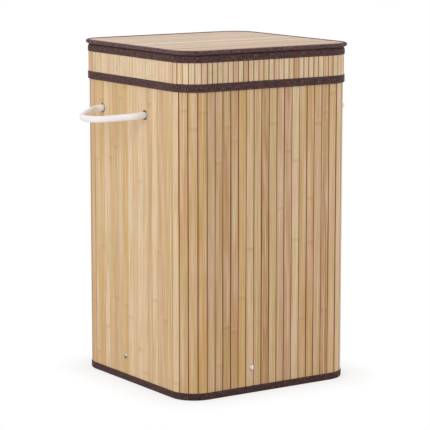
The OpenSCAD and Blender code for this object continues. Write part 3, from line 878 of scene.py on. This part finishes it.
# %% Hinge strip
leaf_low, leaf_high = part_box("hinge_strip_lid")
wall_leaf_low, wall_leaf_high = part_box("hinge_strip_wall")
hinge_y = (wall_leaf_low.y + wall_leaf_high.y) / 2
lid_leaf_y = (leaf_low.y + leaf_high.y) / 2
heights = np.concatenate([np.linspace(wall_leaf_low.z, wall_leaf_high.z - 0.8 * MM, 8),
                          np.linspace(wall_leaf_high.z, leaf_low.z + 0.8 * MM, 9),
                          np.linspace(leaf_low.z + 1.4 * MM, leaf_high.z, 6)])
lean = smooth_step((heights - wall_leaf_high.z + 0.8 * MM) / (2.6 * MM))
strip_profile = ribbon(together(between(hinge_y, lid_leaf_y, lean), heights), 0.7 * MM)
x = np.linspace(leaf_low.x, leaf_high.x, 60)[:, None]
ripple = 0.06 * MM * np.sin(x / 0.009)
strip = together(x, strip_profile[:, 0] + ripple, strip_profile[:, 1])
hinge = skin("cotton_tape_hinge", strip, together(x, so_far(strip_profile, closed=True)), crease=60.0)
finish_piece(hinge, binding_tape, None, "binding_tape", "hinge_strip_lid", "hinge_strip_wall")
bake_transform(hinge)

# %% [markdown]
# ## Eyelets and rivets
# Each rope passes through two rolled metal eyelets, and each side of the base is held by a
# domed rivet. All are turned shapes: a profile of (radius, height) carried round an axis that
# points straight out of the wall. They are nickel plated and polished, so nearly all of
# their look is what they reflect. Fine rubbing marks in the roughness stop them from
# looking like drops of mercury.

# %% Plated metal
def plated(name, colour, wear_and_dark_reflection, roughness=0.16, grain=700.0):
    """Polished nickel plate: a metal that is its colour, with fine scratches and darker cloudy patches, which
    are partly wear and partly painted dark reflections.
    """
    material, tree, place = fresh(name, uv=False)
    scratch = noise(tree, place, (grain, grain, grain / 9))
    # Partly painted reflection: the dark cloudy patches stand for dark surroundings mirrored in the metal, as
    # well as wear.
    body = ramp(tree, noise(tree, place, 160.0, 3.0), (0.35, wear_and_dark_reflection), (0.6, colour))
    rough = spread(tree, scratch, 0.0, 1.0, roughness * 0.6, roughness * 1.7)
    return surfaced(material, body, rough, scratch, 0.12, 0.2, Metallic=1.0, Specular_Tint=linear("#6c6a68"))


# The eyelets' and rivets' darker patches are partly painted dark reflections.
eyelet_nickel = plated("polished_nickel_eyelet", "#b2b0ad", "#65625f", 0.16)
rivet_nickel = plated("polished_nickel_rivet", "#cfcdca", "#7e7b78", 0.16)

# %% [markdown]
# ### Turning on a wall
# Like a lathe, one function carries a profile round an axis, at as many places as are asked
# for. Another gives the place and the directions there, by the number of the side.

# %% Turned fittings
upwards = np.array([0.0, 0.0, 1.0])


def wall_place(side, along, off, z):
    """A point on a side of the body, 0 front, 1 right, 2 back, 3 left, with the directions
    along the wall and outwards."""
    angle = side * math.pi / 2
    way, out = raised(turned(angle, 1.0, 0.0), 0.0), raised(turned(angle, 0.0, -1.0), 0.0)
    return raised(turned(angle, along, -half - off), z), way, out


def turned_fittings(name, profile, places, around=40, loop=True):
    """A profile of (radius, distance out) carried round an axis at each place on the walls."""
    a = np.linspace(0, 2 * math.pi, around, endpoint=False)[:, None, None]
    grids = []
    for side, along, z in places:
        spot, way, out = wall_place(side, along, 0.0, z)
        grids.append(spot + circle(a, way, upwards) * profile[:, :1] + out * profile[:, 1:])
    grids = np.array(grids) if loop else np.swapaxes(np.array(grids), 1, 2)
    return skin(name, grids, loop=loop, crease=70.0)


# %% [markdown]
# ### The eyelets' profile
# A rounded flange lies on the slats, and the barrel goes through them and ends in a lip. The
# barrel's points are in millimetres from the bore: further out along the radius, and height.

# %% Eyelets
eyelet_low, eyelet_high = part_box("handle_eyelets")
handle_z = (eyelet_low.z + eyelet_high.z) / 2
eyelet_r = (eyelet_high.z - eyelet_low.z) / 2
handle_shift, handle_span = 26 * MM, 141 * MM
eyelet_places = [(side, -handle_shift + e * handle_span / 2, handle_z) for side in (1, 3) for e in (-1, 1)]
bore_r, lip_r = 6.9 * MM, 0.75 * MM
barrel = [[0.9, 0.1], [0.5, -0.2], [0.5, -3.9], [1.2, -4.05], [1.2, -4.65], [0.0, -4.65]]
flange = np.concatenate([
    arc(bore_r + lip_r, 0.3 * MM, lip_r, 180, 95, 6),
    arc(eyelet_r - lip_r, 0.4 * MM, lip_r, 80, -35, 7),
    np.array(barrel) * MM + np.array([bore_r, 0.0]),
])
eyelets = turned_fittings("nickel_eyelets", flange, eyelet_places)
finish_piece(eyelets, eyelet_nickel, "hamper", "eyelet_chrome", "handle_eyelets")

# %% [markdown]
# ### The rivets' profile
# A rivet is one solid from its domed head through the shank to the closed end inside. Its
# profile starts and ends close to the axis, and small caps close it there.

# %% Rivets
rivet_low, rivet_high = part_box("base_rivets")
head_r, head_h = 4.8 * MM, 2.2 * MM
rivet_z = (rivet_low.z + rivet_high.z) / 2
rivet_places = [(side, along * MM, rivet_z) for side, along in ((0, -40), (1, -24), (2, -40), (3, -24))]
dome = np.radians(np.linspace(90, 8, 9))
head = together(head_r * np.cos(dome), 0.1 * MM + head_h * np.sin(dome))
head[0, 0] = 0.15 * MM
shank = [[4.8, 0.1], [2.0, 0.1], [2.0, -4.25], [3.2, -4.25], [3.0, -5.25], [2.2, -5.65], [0.2, -5.75]]
turning = np.concatenate([head, np.array(shank) * MM])
rivets = turned_fittings("nickel_rivets", turning, rivet_places, 32, loop=False)
finish_piece(rivets, rivet_nickel, "hamper", "rivet_chrome", "base_rivets")

# %% [markdown]
# ### Holes for the eyelets
# The slats under an eyelet are drilled, so that the rope goes through open air inside the
# eyelet's barrel. A boolean modifier with a plain drill shape does that best, and it is
# applied at once, so the finished slats hold no live modifier. The cut makes new edges, and
# the sharp ones have to be marked again, or the shading smears round the hole.

# %% Drilled slats
def drilled(wall, places, radius):
    """Cuts a round hole through a wall of slats at each place, then removes the drill."""
    reach = 8 * MM
    rod = np.array([[radius, reach], [radius, -reach]])
    drill = turned_fittings("drill", rod, places, 32, loop=False)
    cut = wall.modifiers.new("drilled", "BOOLEAN")
    cut.object = drill
    cut.operation = "DIFFERENCE"
    cut.solver = "EXACT"
    deps = bpy.context.evaluated_depsgraph_get()
    old = wall.data
    wall.data = bpy.data.meshes.new_from_object(
        wall.evaluated_get(deps), preserve_all_data_layers=True, depsgraph=deps)
    wall.data.set_sharp_from_angle(angle=math.radians(35.0))
    wall.modifiers.clear()
    bpy.data.objects.remove(drill)
    bpy.data.meshes.remove(old)
    print(wall.name, "drilled, now", len(wall.data.polygons), "faces")


drilled(walls["right"], eyelet_places[:2], bore_r + 0.55 * MM)
drilled(walls["left"], eyelet_places[2:], bore_r + 0.55 * MM)

# %% [markdown]
# ## Rope handles
# A handle is a length of solid braided cotton rope, 11.5 mm thick, put through both eyelets
# from outside and knotted inside. It is stiff enough to stand out nearly level.
# A twisted rope would show deep slanting grooves; a braid is rounder, with small plaits that
# pass over and under each other. Both can be made by sweeping strands, but here one tube
# carries the plaits as relief, which keeps it a single closed skin.

# %% Cotton rope material
def braided_cotton(name):
    """Unbleached cotton cord: matt and soft, with painted shade making it greyer between the plaits and
    painted light making it white on their tops.
    """
    material, tree, uv = fresh(name)
    relief = add(tree, "Attribute", attribute_name="relief").outputs["Fac"]
    fibre = noise(tree, uv, (900.0, 900.0), 3.0)
    height = maths(tree, "ADD", relief, spread(tree, fibre, 0.0, 1.0, -0.16, 0.16))
    # Painted shade and light: the braid's relief sets the colour, grey in the hollows and white on the
    # plaits.
    body = ramp(tree, height, (0.0, "#c3b8b8"), (0.45, "#ece5e3"), (1.0, "#fbf8f7"))
    return surfaced(material, body, 0.88, fibre, 0.35, 0.4, Specular_IOR_Level=0.2, Sheen_Weight=0.25,
                    Sheen_Roughness=0.5)


cotton = braided_cotton("braided_cotton_rope")

# %% [markdown]
# ### A braid as relief
# One function gives the height of the plaits anywhere on the rope. The next walks along a
# path and sets rings of points round it, each point lower where the braid is lower.

# %% Braid relief and rope tube
def braid(turn, length, strands=8, lay=26 * MM):
    """Height of the plaits, 0 to 1, by the turn round the rope (0 to 1) and the length along.
    Two sets of strands wind opposite ways. Each is crowned like an arch, and rises where the
    other dips: the sign of the over and under changes at every crossing."""
    p = strands * turn + length / lay * strands / 2
    q = strands * turn - length / lay * strands / 2
    a, b = p - np.floor(p) - 0.5, q - np.floor(q) - 0.5
    over = 1 - 2 * ((np.floor(p) + np.floor(q)) % 2)
    crown, rise = 3.4, 0.2 * over
    first = np.sqrt(1 - crown * a * a) * 0.8 + rise * np.cos(math.pi * b)
    second = np.sqrt(1 - crown * b * b) * 0.8 - rise * np.cos(math.pi * a)
    return np.maximum(first, second)


rope_r = 5.75 * MM
plait = 0.45 * MM
rope_girth = 36 * MM


def rope_tube(path, around=48, step=1.0 * MM):
    """A braided tube along a path. The path is walked at even steps, with a frame that keeps
    one side as level as it can, and each ring of points lies at the rope's radius less the
    depth of the braid there."""
    s = so_far(path)
    walk = np.linspace(0, s[-1], round(s[-1] / step))
    line = together(*(np.interp(walk, s, part) for part in path.T))
    for _ in range(6):
        line[1:-1] = (line[:-2] + 2 * line[1:-1] + line[2:]) / 4
    way = unit(np.gradient(line, axis=0))
    level = unit(np.cross(way, upwards))
    up = np.cross(level, way)
    turn = np.arange(around) / around
    relief = braid(turn[None], walk[:, None])
    radius = rope_r - plait * (1 - relief)
    ray = circle(2 * math.pi * turn[:, None], level[:, None], up[:, None])
    uv = together(walk[:, None], np.arange(around + 1) / around * rope_girth)
    return line[:, None] + ray * radius[..., None], uv, relief, s[-1]


# %% [markdown]
# ### The loop's line
# Seen from above, the loop leaves each eyelet straight, bends inwards round a small arc, runs
# straight, and turns back round a wide tip. It droops a few degrees under its own weight.

# %% Rope handles
pivot_out = 8.0 * MM
knot_off = -13.15 * MM
lead, bend_r, closing, droop = 2 * MM, 23 * MM, math.radians(39), math.radians(7)
reach = (abs(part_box("left_rope_loop")[0].x) - half - pivot_out - rope_r) / math.cos(droop)
bend_end = np.array([lead + bend_r * math.sin(closing), handle_span / 2 - bend_r * (1 - math.cos(closing))])
tip_r = ((bend_end[1] - math.tan(closing) * (reach - bend_end[0]))
         / (math.cos(closing) - math.tan(closing) * (1 - math.sin(closing))))


def half_loop():
    """Half the rope's line as (out, along) from the turning line: knot, lead, bend, leg, tip."""
    a = np.linspace(0, closing, 12)
    bend = together(lead + bend_r * np.sin(a), handle_span / 2 - bend_r * (1 - np.cos(a)))
    a = np.linspace(closing, math.pi / 2, 24)
    tip = together(reach - tip_r * (1 - np.sin(a)), tip_r * np.cos(a))
    start = np.array([[knot_off - pivot_out, handle_span / 2], [0.0, handle_span / 2]])
    return np.concatenate([start, bend, tip])


def handle_line(side):
    """The whole line in place: the half, then the half mirrored back, drooping beyond the
    turning line, and turned to its side of the body."""
    near = half_loop()
    flat = np.concatenate([near, near[-2::-1] * np.array([1.0, -1.0])])
    beyond = np.maximum(flat[:, 0], 0)
    out = np.where(flat[:, 0] > 0, flat[:, 0] * math.cos(droop), flat[:, 0]) + pivot_out
    xy = turned(side * math.pi / 2, flat[:, 1] - handle_shift, -half - out)
    return raised(xy, handle_z - beyond * math.sin(droop))


for side, name, outwards in ((3, "left", -1.0), (1, "right", 1.0)):
    line = handle_line(side)
    tube, uv, relief, rope_length = rope_tube(line)
    # The relief mark also carries the rope's painted shade between the plaits.
    rope = skin("braided_rope_" + name, tube, uv, {"relief": relief}, crease=80.0)
    finish_piece(rope, cotton, None, "cotton_rope", name + "_rope_loop")
    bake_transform(rope)
    print(rope.name, "is", round(rope_length, 3), "m of rope between its knots")

# %% [markdown]
# ### Knots
# Inside the wall each end is tied in a stopper knot, a ball of turns laid side by side, with
# a short tail hanging below it. Nobody sees more than a bulge behind the liner, so the knot
# is a ball with the turns as grooves, and the tail is a piece of the same braid.

# %% Knots and tails
ball_r = 10.4 * MM


def knots(side, name):
    """Two balls of wound rope and their tails. A ball's radius dips along three slanting
    grooves, and it sits flattened against the washer."""
    balls, tails = [], []
    rise = np.linspace(0.04, math.pi - 0.04, 26)[:, None]
    a = np.linspace(0, 2 * math.pi, 44, endpoint=False)
    slant = np.cos(rise) * 2.2 + 0.35 * np.sin(a + 0.6)
    groove = np.abs(np.sin(slant * math.pi * 0.75)) ** 0.45
    radius = ball_r * between(0.86, 1.0, groove)[..., None]
    ball = radius * together(np.sin(rise) * np.cos(a), np.sin(rise) * np.sin(a), np.cos(rise))
    for e in (-1, 1):
        spot, way, out = wall_place(side, -handle_shift + e * handle_span / 2, knot_off, handle_z)
        balls.append(spot + ball @ np.array([way, out, upwards]))
        drop = np.linspace(4 * MM, 24 * MM, 12)[:, None]
        path = spot - upwards * drop + out * 0.4 * MM * np.sin(drop * 150) + way * drop * 0.02
        tails.append(rope_tube(path, 32, 1.2 * MM)[:3])
    ball_uv = together(rise * 0.01, np.arange(45) / 44 * rope_girth)
    # The grooves also give the knots' painted shade through the rope material.
    relief = {"relief": np.stack([groove, groove])}
    wound = skin("rope_knots_" + name, np.array(balls), np.stack([ball_uv, ball_uv]), relief, crease=80.0)
    finish_piece(wound, cotton, "hamper", "cotton_rope", name + "_rope_ends")
    tubes, tail_uv, tail_relief = (np.array(part) for part in zip(*tails))
    ends = skin("rope_tails_" + name, tubes, tail_uv, {"relief": tail_relief})
    finish_piece(ends, cotton, "hamper", "cotton_rope")


knots(3, "left")
knots(1, "right")

# %% [markdown]
# ## Liner
# A cotton bag hangs inside the hamper from a strip of hook and loop tape, and stands on the
# base board. It is thin cloth, so it is a single sheet given its thickness by a Solidify
# modifier. It isn't simulated: its folds start at the sewn top and deepen on the way down,
# and it bulges in over the four knots behind it. Both are sums of waves and bell curves,
# which come out the same on every run.

# %% Liner cloth material
def liner_cotton(name):
    """Plain woven cotton, natural white. The threads are 0.4 mm apart, drawn 1.5 mm apart so
    that they show, with a slow, random change of tone, painted as the shade of creases."""
    material, tree, uv = fresh(name)
    wave = {"Vector": uv, "Scale": 210.0, "Distortion": 0.8, "Detail": 1.0, "Detail Scale": 2.0}
    warp, weft = (add(tree, "TexWave", wave, bands_direction=way).outputs["Fac"] for way in "XY")
    thread = maths(tree, "MULTIPLY", warp, weft)
    # Painted shade: slow noise darkens the cloth here and there as creases would.
    tone = spread(tree, noise(tree, uv, (30.0, 7.0), 3.0), 0.3, 0.7)
    body = ramp(tree, tone, (0.0, "#e4dbca"), (1.0, "#f6f0e4"))
    body = tinted(tree, maths(tree, "MULTIPLY", thread, 0.16), body, "#b5a78f")
    return surfaced(material, body, 0.9, thread, 0.25, 0.3, Specular_IOR_Level=0.2, Sheen_Weight=0.1,
                    Sheen_Roughness=0.6)


# %% [markdown]
# ### Where the liner hangs
# Its top is sewn close to the wall, and below the strip it hangs further in. The bag's top
# stays while its foot is lifted, so keep is the share of the height that is then left. The
# pole is the small hole in the middle of the bottom, as a share of the whole, that one face
# closes.

# %% Liner sizes
liner_low, liner_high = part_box("liner_bag")
strip_low, strip_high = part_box("liner_loop_strip")
liner_top_off = -(strip_low.x + half + 1.7 * MM)
liner_hang_off = -9.6 * MM
hem_in, foot_bend = 5 * MM, 6 * MM
narrow_fold, wide_fold, knot_push = 1.8 * MM, 2.2 * MM, 15.6 * MM
pole = 0.004
cloth_t = 0.6 * MM
board_lift = next(j["range_m"][1] for j in frame["joints"] if j["name"] == "base_board_lift")
liner_keep = (liner_high.z - liner_low.z - board_lift) / (liner_high.z - liner_low.z)
print("the liner keeps", round(liner_keep, 3), "of its height when the board is lifted")

# %% [markdown]
# ### Folds and bulges
# The cloth's distance from the wall is its hang, less the folds, less what a knot pushes in.

# %% Shape of the liner
def knot_bulge(xy, out, z):
    """How far the cloth is pushed in by a knot: 16 mm over it, falling off to the sides and
    above like a bell with a flat top, e to the minus fourth power of the distance. Below the
    knot the cloth hangs straight down from it, and finds its way back to the wall by a smooth
    step. That hanging fold is long enough to cover the knot when the liner is gathered up."""
    push = np.zeros(z.shape)
    for side, along, high in eyelet_places:
        spot, way, face = wall_place(side, along, 0.0, high)
        near = ((xy - spot[:2]) @ way[:2]) / (20 * MM)
        over = np.maximum(z - high, 0) / (24 * MM)
        hang_end = liner_high.z - (liner_high.z - high + 34 * MM) / liner_keep
        back = smooth_step((z - hang_end) / (110 * MM) + 1)
        bell = np.exp(-(near ** 2 + over ** 2) ** 2)
        push += np.where(out @ face[:2] > 0.9, bell * back, 0.0)
    return knot_push * push


def liner_sheet():
    """Rows from the middle of the bottom out to its edge and up the wall, columns round the
    body. The fold depth grows downwards as a smooth step, and the bottom rumples by a product
    of two sines. The bottom is a panel of its own, so its UV is simply its place."""
    at, out, length = outline(straight=64, corner=22)
    shares = np.linspace(pole, 1, 14)
    rise = np.concatenate([np.linspace(0.0, 0.9, 34), np.linspace(0.91, 1.0, 8)])
    wall_z = between(liner_low.z + foot_bend, liner_high.z, rise)
    turns = 2 * math.pi * length[:-1] / length[-1]
    gather = 0.5 + 0.5 * np.sin(46 * turns + 1.3 * np.sin(5 * turns))
    slow = 0.5 + 0.5 * np.sin(11 * turns + 0.8)
    floor_xy = shares[:, None, None] * (at + out * (liner_hang_off - hem_in))
    x, y = floor_xy[..., 0], floor_xy[..., 1]
    rumple = (1 + np.sin(x / 0.033 + 2 * np.sin(y / 0.05)) * np.sin(y / 0.041 + 1)) / 2
    bottom = raised(floor_xy, liner_low.z + cloth_t / 2 + 0.1 * MM + 1.1 * MM * rumple)
    below = smooth_step((strip_low.z - wall_z) / (60 * MM))
    shoulder = np.clip((strip_low.z - 3 * MM - wall_z) / (26 * MM), 0, 1)
    base_off = between(liner_top_off, liner_hang_off, shoulder)
    bottom_pull = np.clip(1 - (wall_z - liner_low.z) / (30 * MM), 0, 1) ** 2 * hem_in
    fold = below[:, None] * (narrow_fold * gather + wide_fold * slow)
    z = np.broadcast_to(wall_z[:, None], fold.shape)
    push = knot_bulge(at[None], out[None], z)
    off = base_off[:, None] - bottom_pull[:, None] - fold - push * below[:, None] ** 0.2
    grid = np.concatenate([bottom, raised(at + out * off[..., None], z)])
    uv = together(length, np.append(shares, wall_z)[:, None])
    uv[:len(shares)] = np.concatenate([floor_xy, floor_xy[:, :1]], 1)
    return grid, uv


# %% [markdown]
# ### The bag
# The sheet is open at the top. The Solidify modifier makes cloth of it, by adding half the
# thickness to either side.

# %% Liner bag
natural_cotton = liner_cotton("natural_woven_cotton")
liner = skin("cotton_liner", *liner_sheet(), top=False, crease=180.0)
thick = liner.modifiers.new("cloth_thickness", "SOLIDIFY")
thick.thickness = cloth_t
thick.offset = 0.0
finish_piece(liner, natural_cotton, "hamper", "liner_cloth", "liner_bag")

# %% [markdown]
# ### What moves the liner
# The base board can be lifted, and the liner stands on it, so the bag gathers upwards: the
# frame squashes it along the height towards its sewn top. Here the length round the liner
# is worked out, and the liner is given a mesh of its own.

# %% Liner facts
liner_round = outline()[2][-1] + 2 * math.pi * liner_hang_off
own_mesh(liner)

# %% [markdown]
# ## Hook and loop tape
# The liner is held by a strip of loop tape, sewn to it, pressed on a strip of hook tape on
# the wall. The loop side is a felt of tiny loops and the hook side a field of stiff hooks in
# rows. Neither can be modelled loop by loop for a part this size, so both get their nap from
# the material's bump, and the loop strip its soft, slightly wavy edge from its own mesh.

# %% Hook and loop materials
def nap(name, colour, dark, spacing, rows):
    """The face of hook or loop tape: nylon points a set distance apart, in rows or at random, with painted
    shade darkening the hollows between them.
    """
    material, tree, place = fresh(name, uv=False)
    points = add(tree, "TexVoronoi", {"Vector": place, "Scale": 1 / spacing, "Randomness": rows})
    height = spread(tree, points.outputs["Distance"], 0.0, 0.6, 1.0, 0.0)
    body = ramp(tree, height, (0.1, dark), (0.8, colour))
    return surfaced(material, body, 0.7, height, 0.6, 0.6, Sheen_Weight=0.2)


loop_nylon = nap("knitted_nylon_loop", "#e6ddcb", "#a79b86", 1.4 * MM, 1.0)
hook_nylon = nap("moulded_nylon_hook", "#6a4f42", "#33241f", 1.6 * MM, 0.15)

# %% [markdown]
# ### The loop strip
# It is the same kind of ribbon as the tapes, carried round the inside, and is sewn to the
# liner by two rows of stitches that face inwards.

# %% Loop strip
loop_mid, loop_t = -4.45 * MM, 0.7 * MM
loop_line = upright(loop_mid, strip_low.z + 0.3 * MM, strip_high.z - 0.3 * MM, -0.15 * MM, 7)
loop_strip = carried_round("loop_tape", ribbon(loop_line, loop_t), wave=0.04 * MM)
finish_piece(loop_strip, loop_nylon, "hamper", "strip_loop", "liner_loop_strip")
liner_thread = spun_thread("spun_cotton_thread", "#efe7d8", "#b9ad98")
face = liner_top_off - 0.35 * MM
liner_seam_in = 2.5 * MM
for name, z in (
    ("stitches_liner_high", strip_high.z - liner_seam_in),
    ("stitches_liner_low", strip_low.z + liner_seam_in),
):
    line, facing = level_line(face, z)
    finish_piece(sewn_row(name, line, -facing), liner_thread, "hamper", "liner_cloth")

# %% [markdown]
# ## Lid lining
# Under the lid the board is covered with the same dark cloth that backs the slats. It is
# glued, so it lies flat, with faint puckers where the rolled tape pulls at its edge.

# %% Dyed backing cloth material
def backing_cloth(name, base, dark):
    """Coarse dyed cotton gauze behind the slats, its 1.5 mm weave drawn on Object coordinates
    because it has no UV map of its own."""
    material, tree, place = fresh(name, uv=False)
    grain = noise(tree, place, 650.0)
    shade = maths(tree, "MULTIPLY_ADD", noise(tree, place, 40.0, 3.0), 0.3, grain)
    body = ramp(tree, spread(tree, shade, 0.4, 0.9), (0.0, dark), (1.0, base))
    return surfaced(material, body, 0.9, grain, 0.4, 0.4, Specular_IOR_Level=0.2)


wall_gauze = backing_cloth("dyed_cotton_gauze_wall", "#94582c", "#683a18")
lid_gauze = backing_cloth("dyed_cotton_gauze_lid", "#5f4238", "#47302a")

# %% [markdown]
# ## Boards, and parts that keep their CAD shape
# The backing cloth, the base board, the wire hoop, the brackets and the washers have the
# right shape already, and are mostly hidden. They keep their meshes and get materials like
# everything else: pressed wood fibre, zinc-plated steel and drawn wire. The lid's core board
# and the cloth under it are made anew, a little smaller, so that the rolled tape can tuck in
# round them. Both are one outline carried from the middle to the edge and back.

# %% Fibreboard and zinc plate
def fibreboard(name):
    """Pressed wood fibre: mid brown, flecked with lighter and darker fibres 1 to 3 mm long."""
    material, tree, place = fresh(name, uv=False)
    fleck = noise(tree, place, 420.0, 3.0)
    shade = spread(tree, maths(tree, "ADD", fleck, noise(tree, place, 18.0)), 0.7, 1.3)
    body = ramp(tree, shade, (0.0, "#8f6a45"), (0.5, "#b48d62"), (1.0, "#cfae84"))
    return surfaced(material, body, 0.75, fleck, 0.2, 0.3)


def lid_plate(name, node, pull, pucker=0.0):
    """A thin plate with the lid's outline: the outline shrunk to a share for each ring, then
    the same rings back over the top. A bell curve near the edge, times a sine, puckers it."""
    low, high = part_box(node)
    half_w, half_d = (high.x - low.x) / 2 - pull, (high.y - low.y) / 2 - pull
    at, _, length = outline(half_w, half_d, lid_r - pull, 40, 18)
    shares = np.array([pole, 0.12, 0.25, 0.38, 0.5, 0.62, 0.74, 0.84, 0.9, 0.94, 0.97, 0.99, 1.0])[:, None]
    wave = np.abs(np.sin(140 * math.pi * length[:-1] / length[-1]))
    rings = at * shares[..., None] + np.array([0.0, (low.y + high.y) / 2])
    under = raised(rings, low.z + pucker * wave * np.exp(-((shares - 0.96) / 0.03) ** 2))
    both = np.concatenate([under, raised(rings[::-1], high.z)])
    return skin(name, both, together(length, np.linspace(0, 0.35, len(both))[:, None]), crease=40.0)


def repaint(material, node):
    """Gives a CAD node a better material."""
    thing = frame["nodes"][node]
    paint(thing, material)
    print(node, "is now", material.name)


pressed_fibre = fibreboard("pressed_wood_fibreboard")
zinc_bracket = plated("zinc_plated_bracket", "#b4b7bb", "#85888c", 0.32, 300.0)
zinc_wire = plated("drawn_zinc_wire", "#a9acb0", "#7b7e83", 0.3, 500.0)
nickel_washer = plated("nickel_washer", "#bfc2c6", "#8a8d92", 0.22, 500.0)
core = lid_plate("fibre_lid_core", "lid_board", 2.0 * MM)
finish_piece(core, pressed_fibre, "lid", "fibreboard", "lid_board")
lining = lid_plate("cloth_lid_lining", "lid_lining", 2.5 * MM, 0.12 * MM)
finish_piece(lining, lid_gauze, "lid", "backing_cloth", "lid_lining")
for material, slot_name, node in (
    (wall_gauze, "backing_cloth", "wall_backing"), (wall_gauze, "backing_cloth", "collar_backing"),
    (pressed_fibre, "fibreboard", "base_board"), (zinc_bracket, "bracket_steel", "base_brackets"),
    (zinc_wire, "hoop_steel", "rim_hoop"), (nickel_washer, "eyelet_chrome", "eyelet_washers"),
    (hook_nylon, "strip_hook", "wall_hook_strip"),
):
    repaint(material, node)
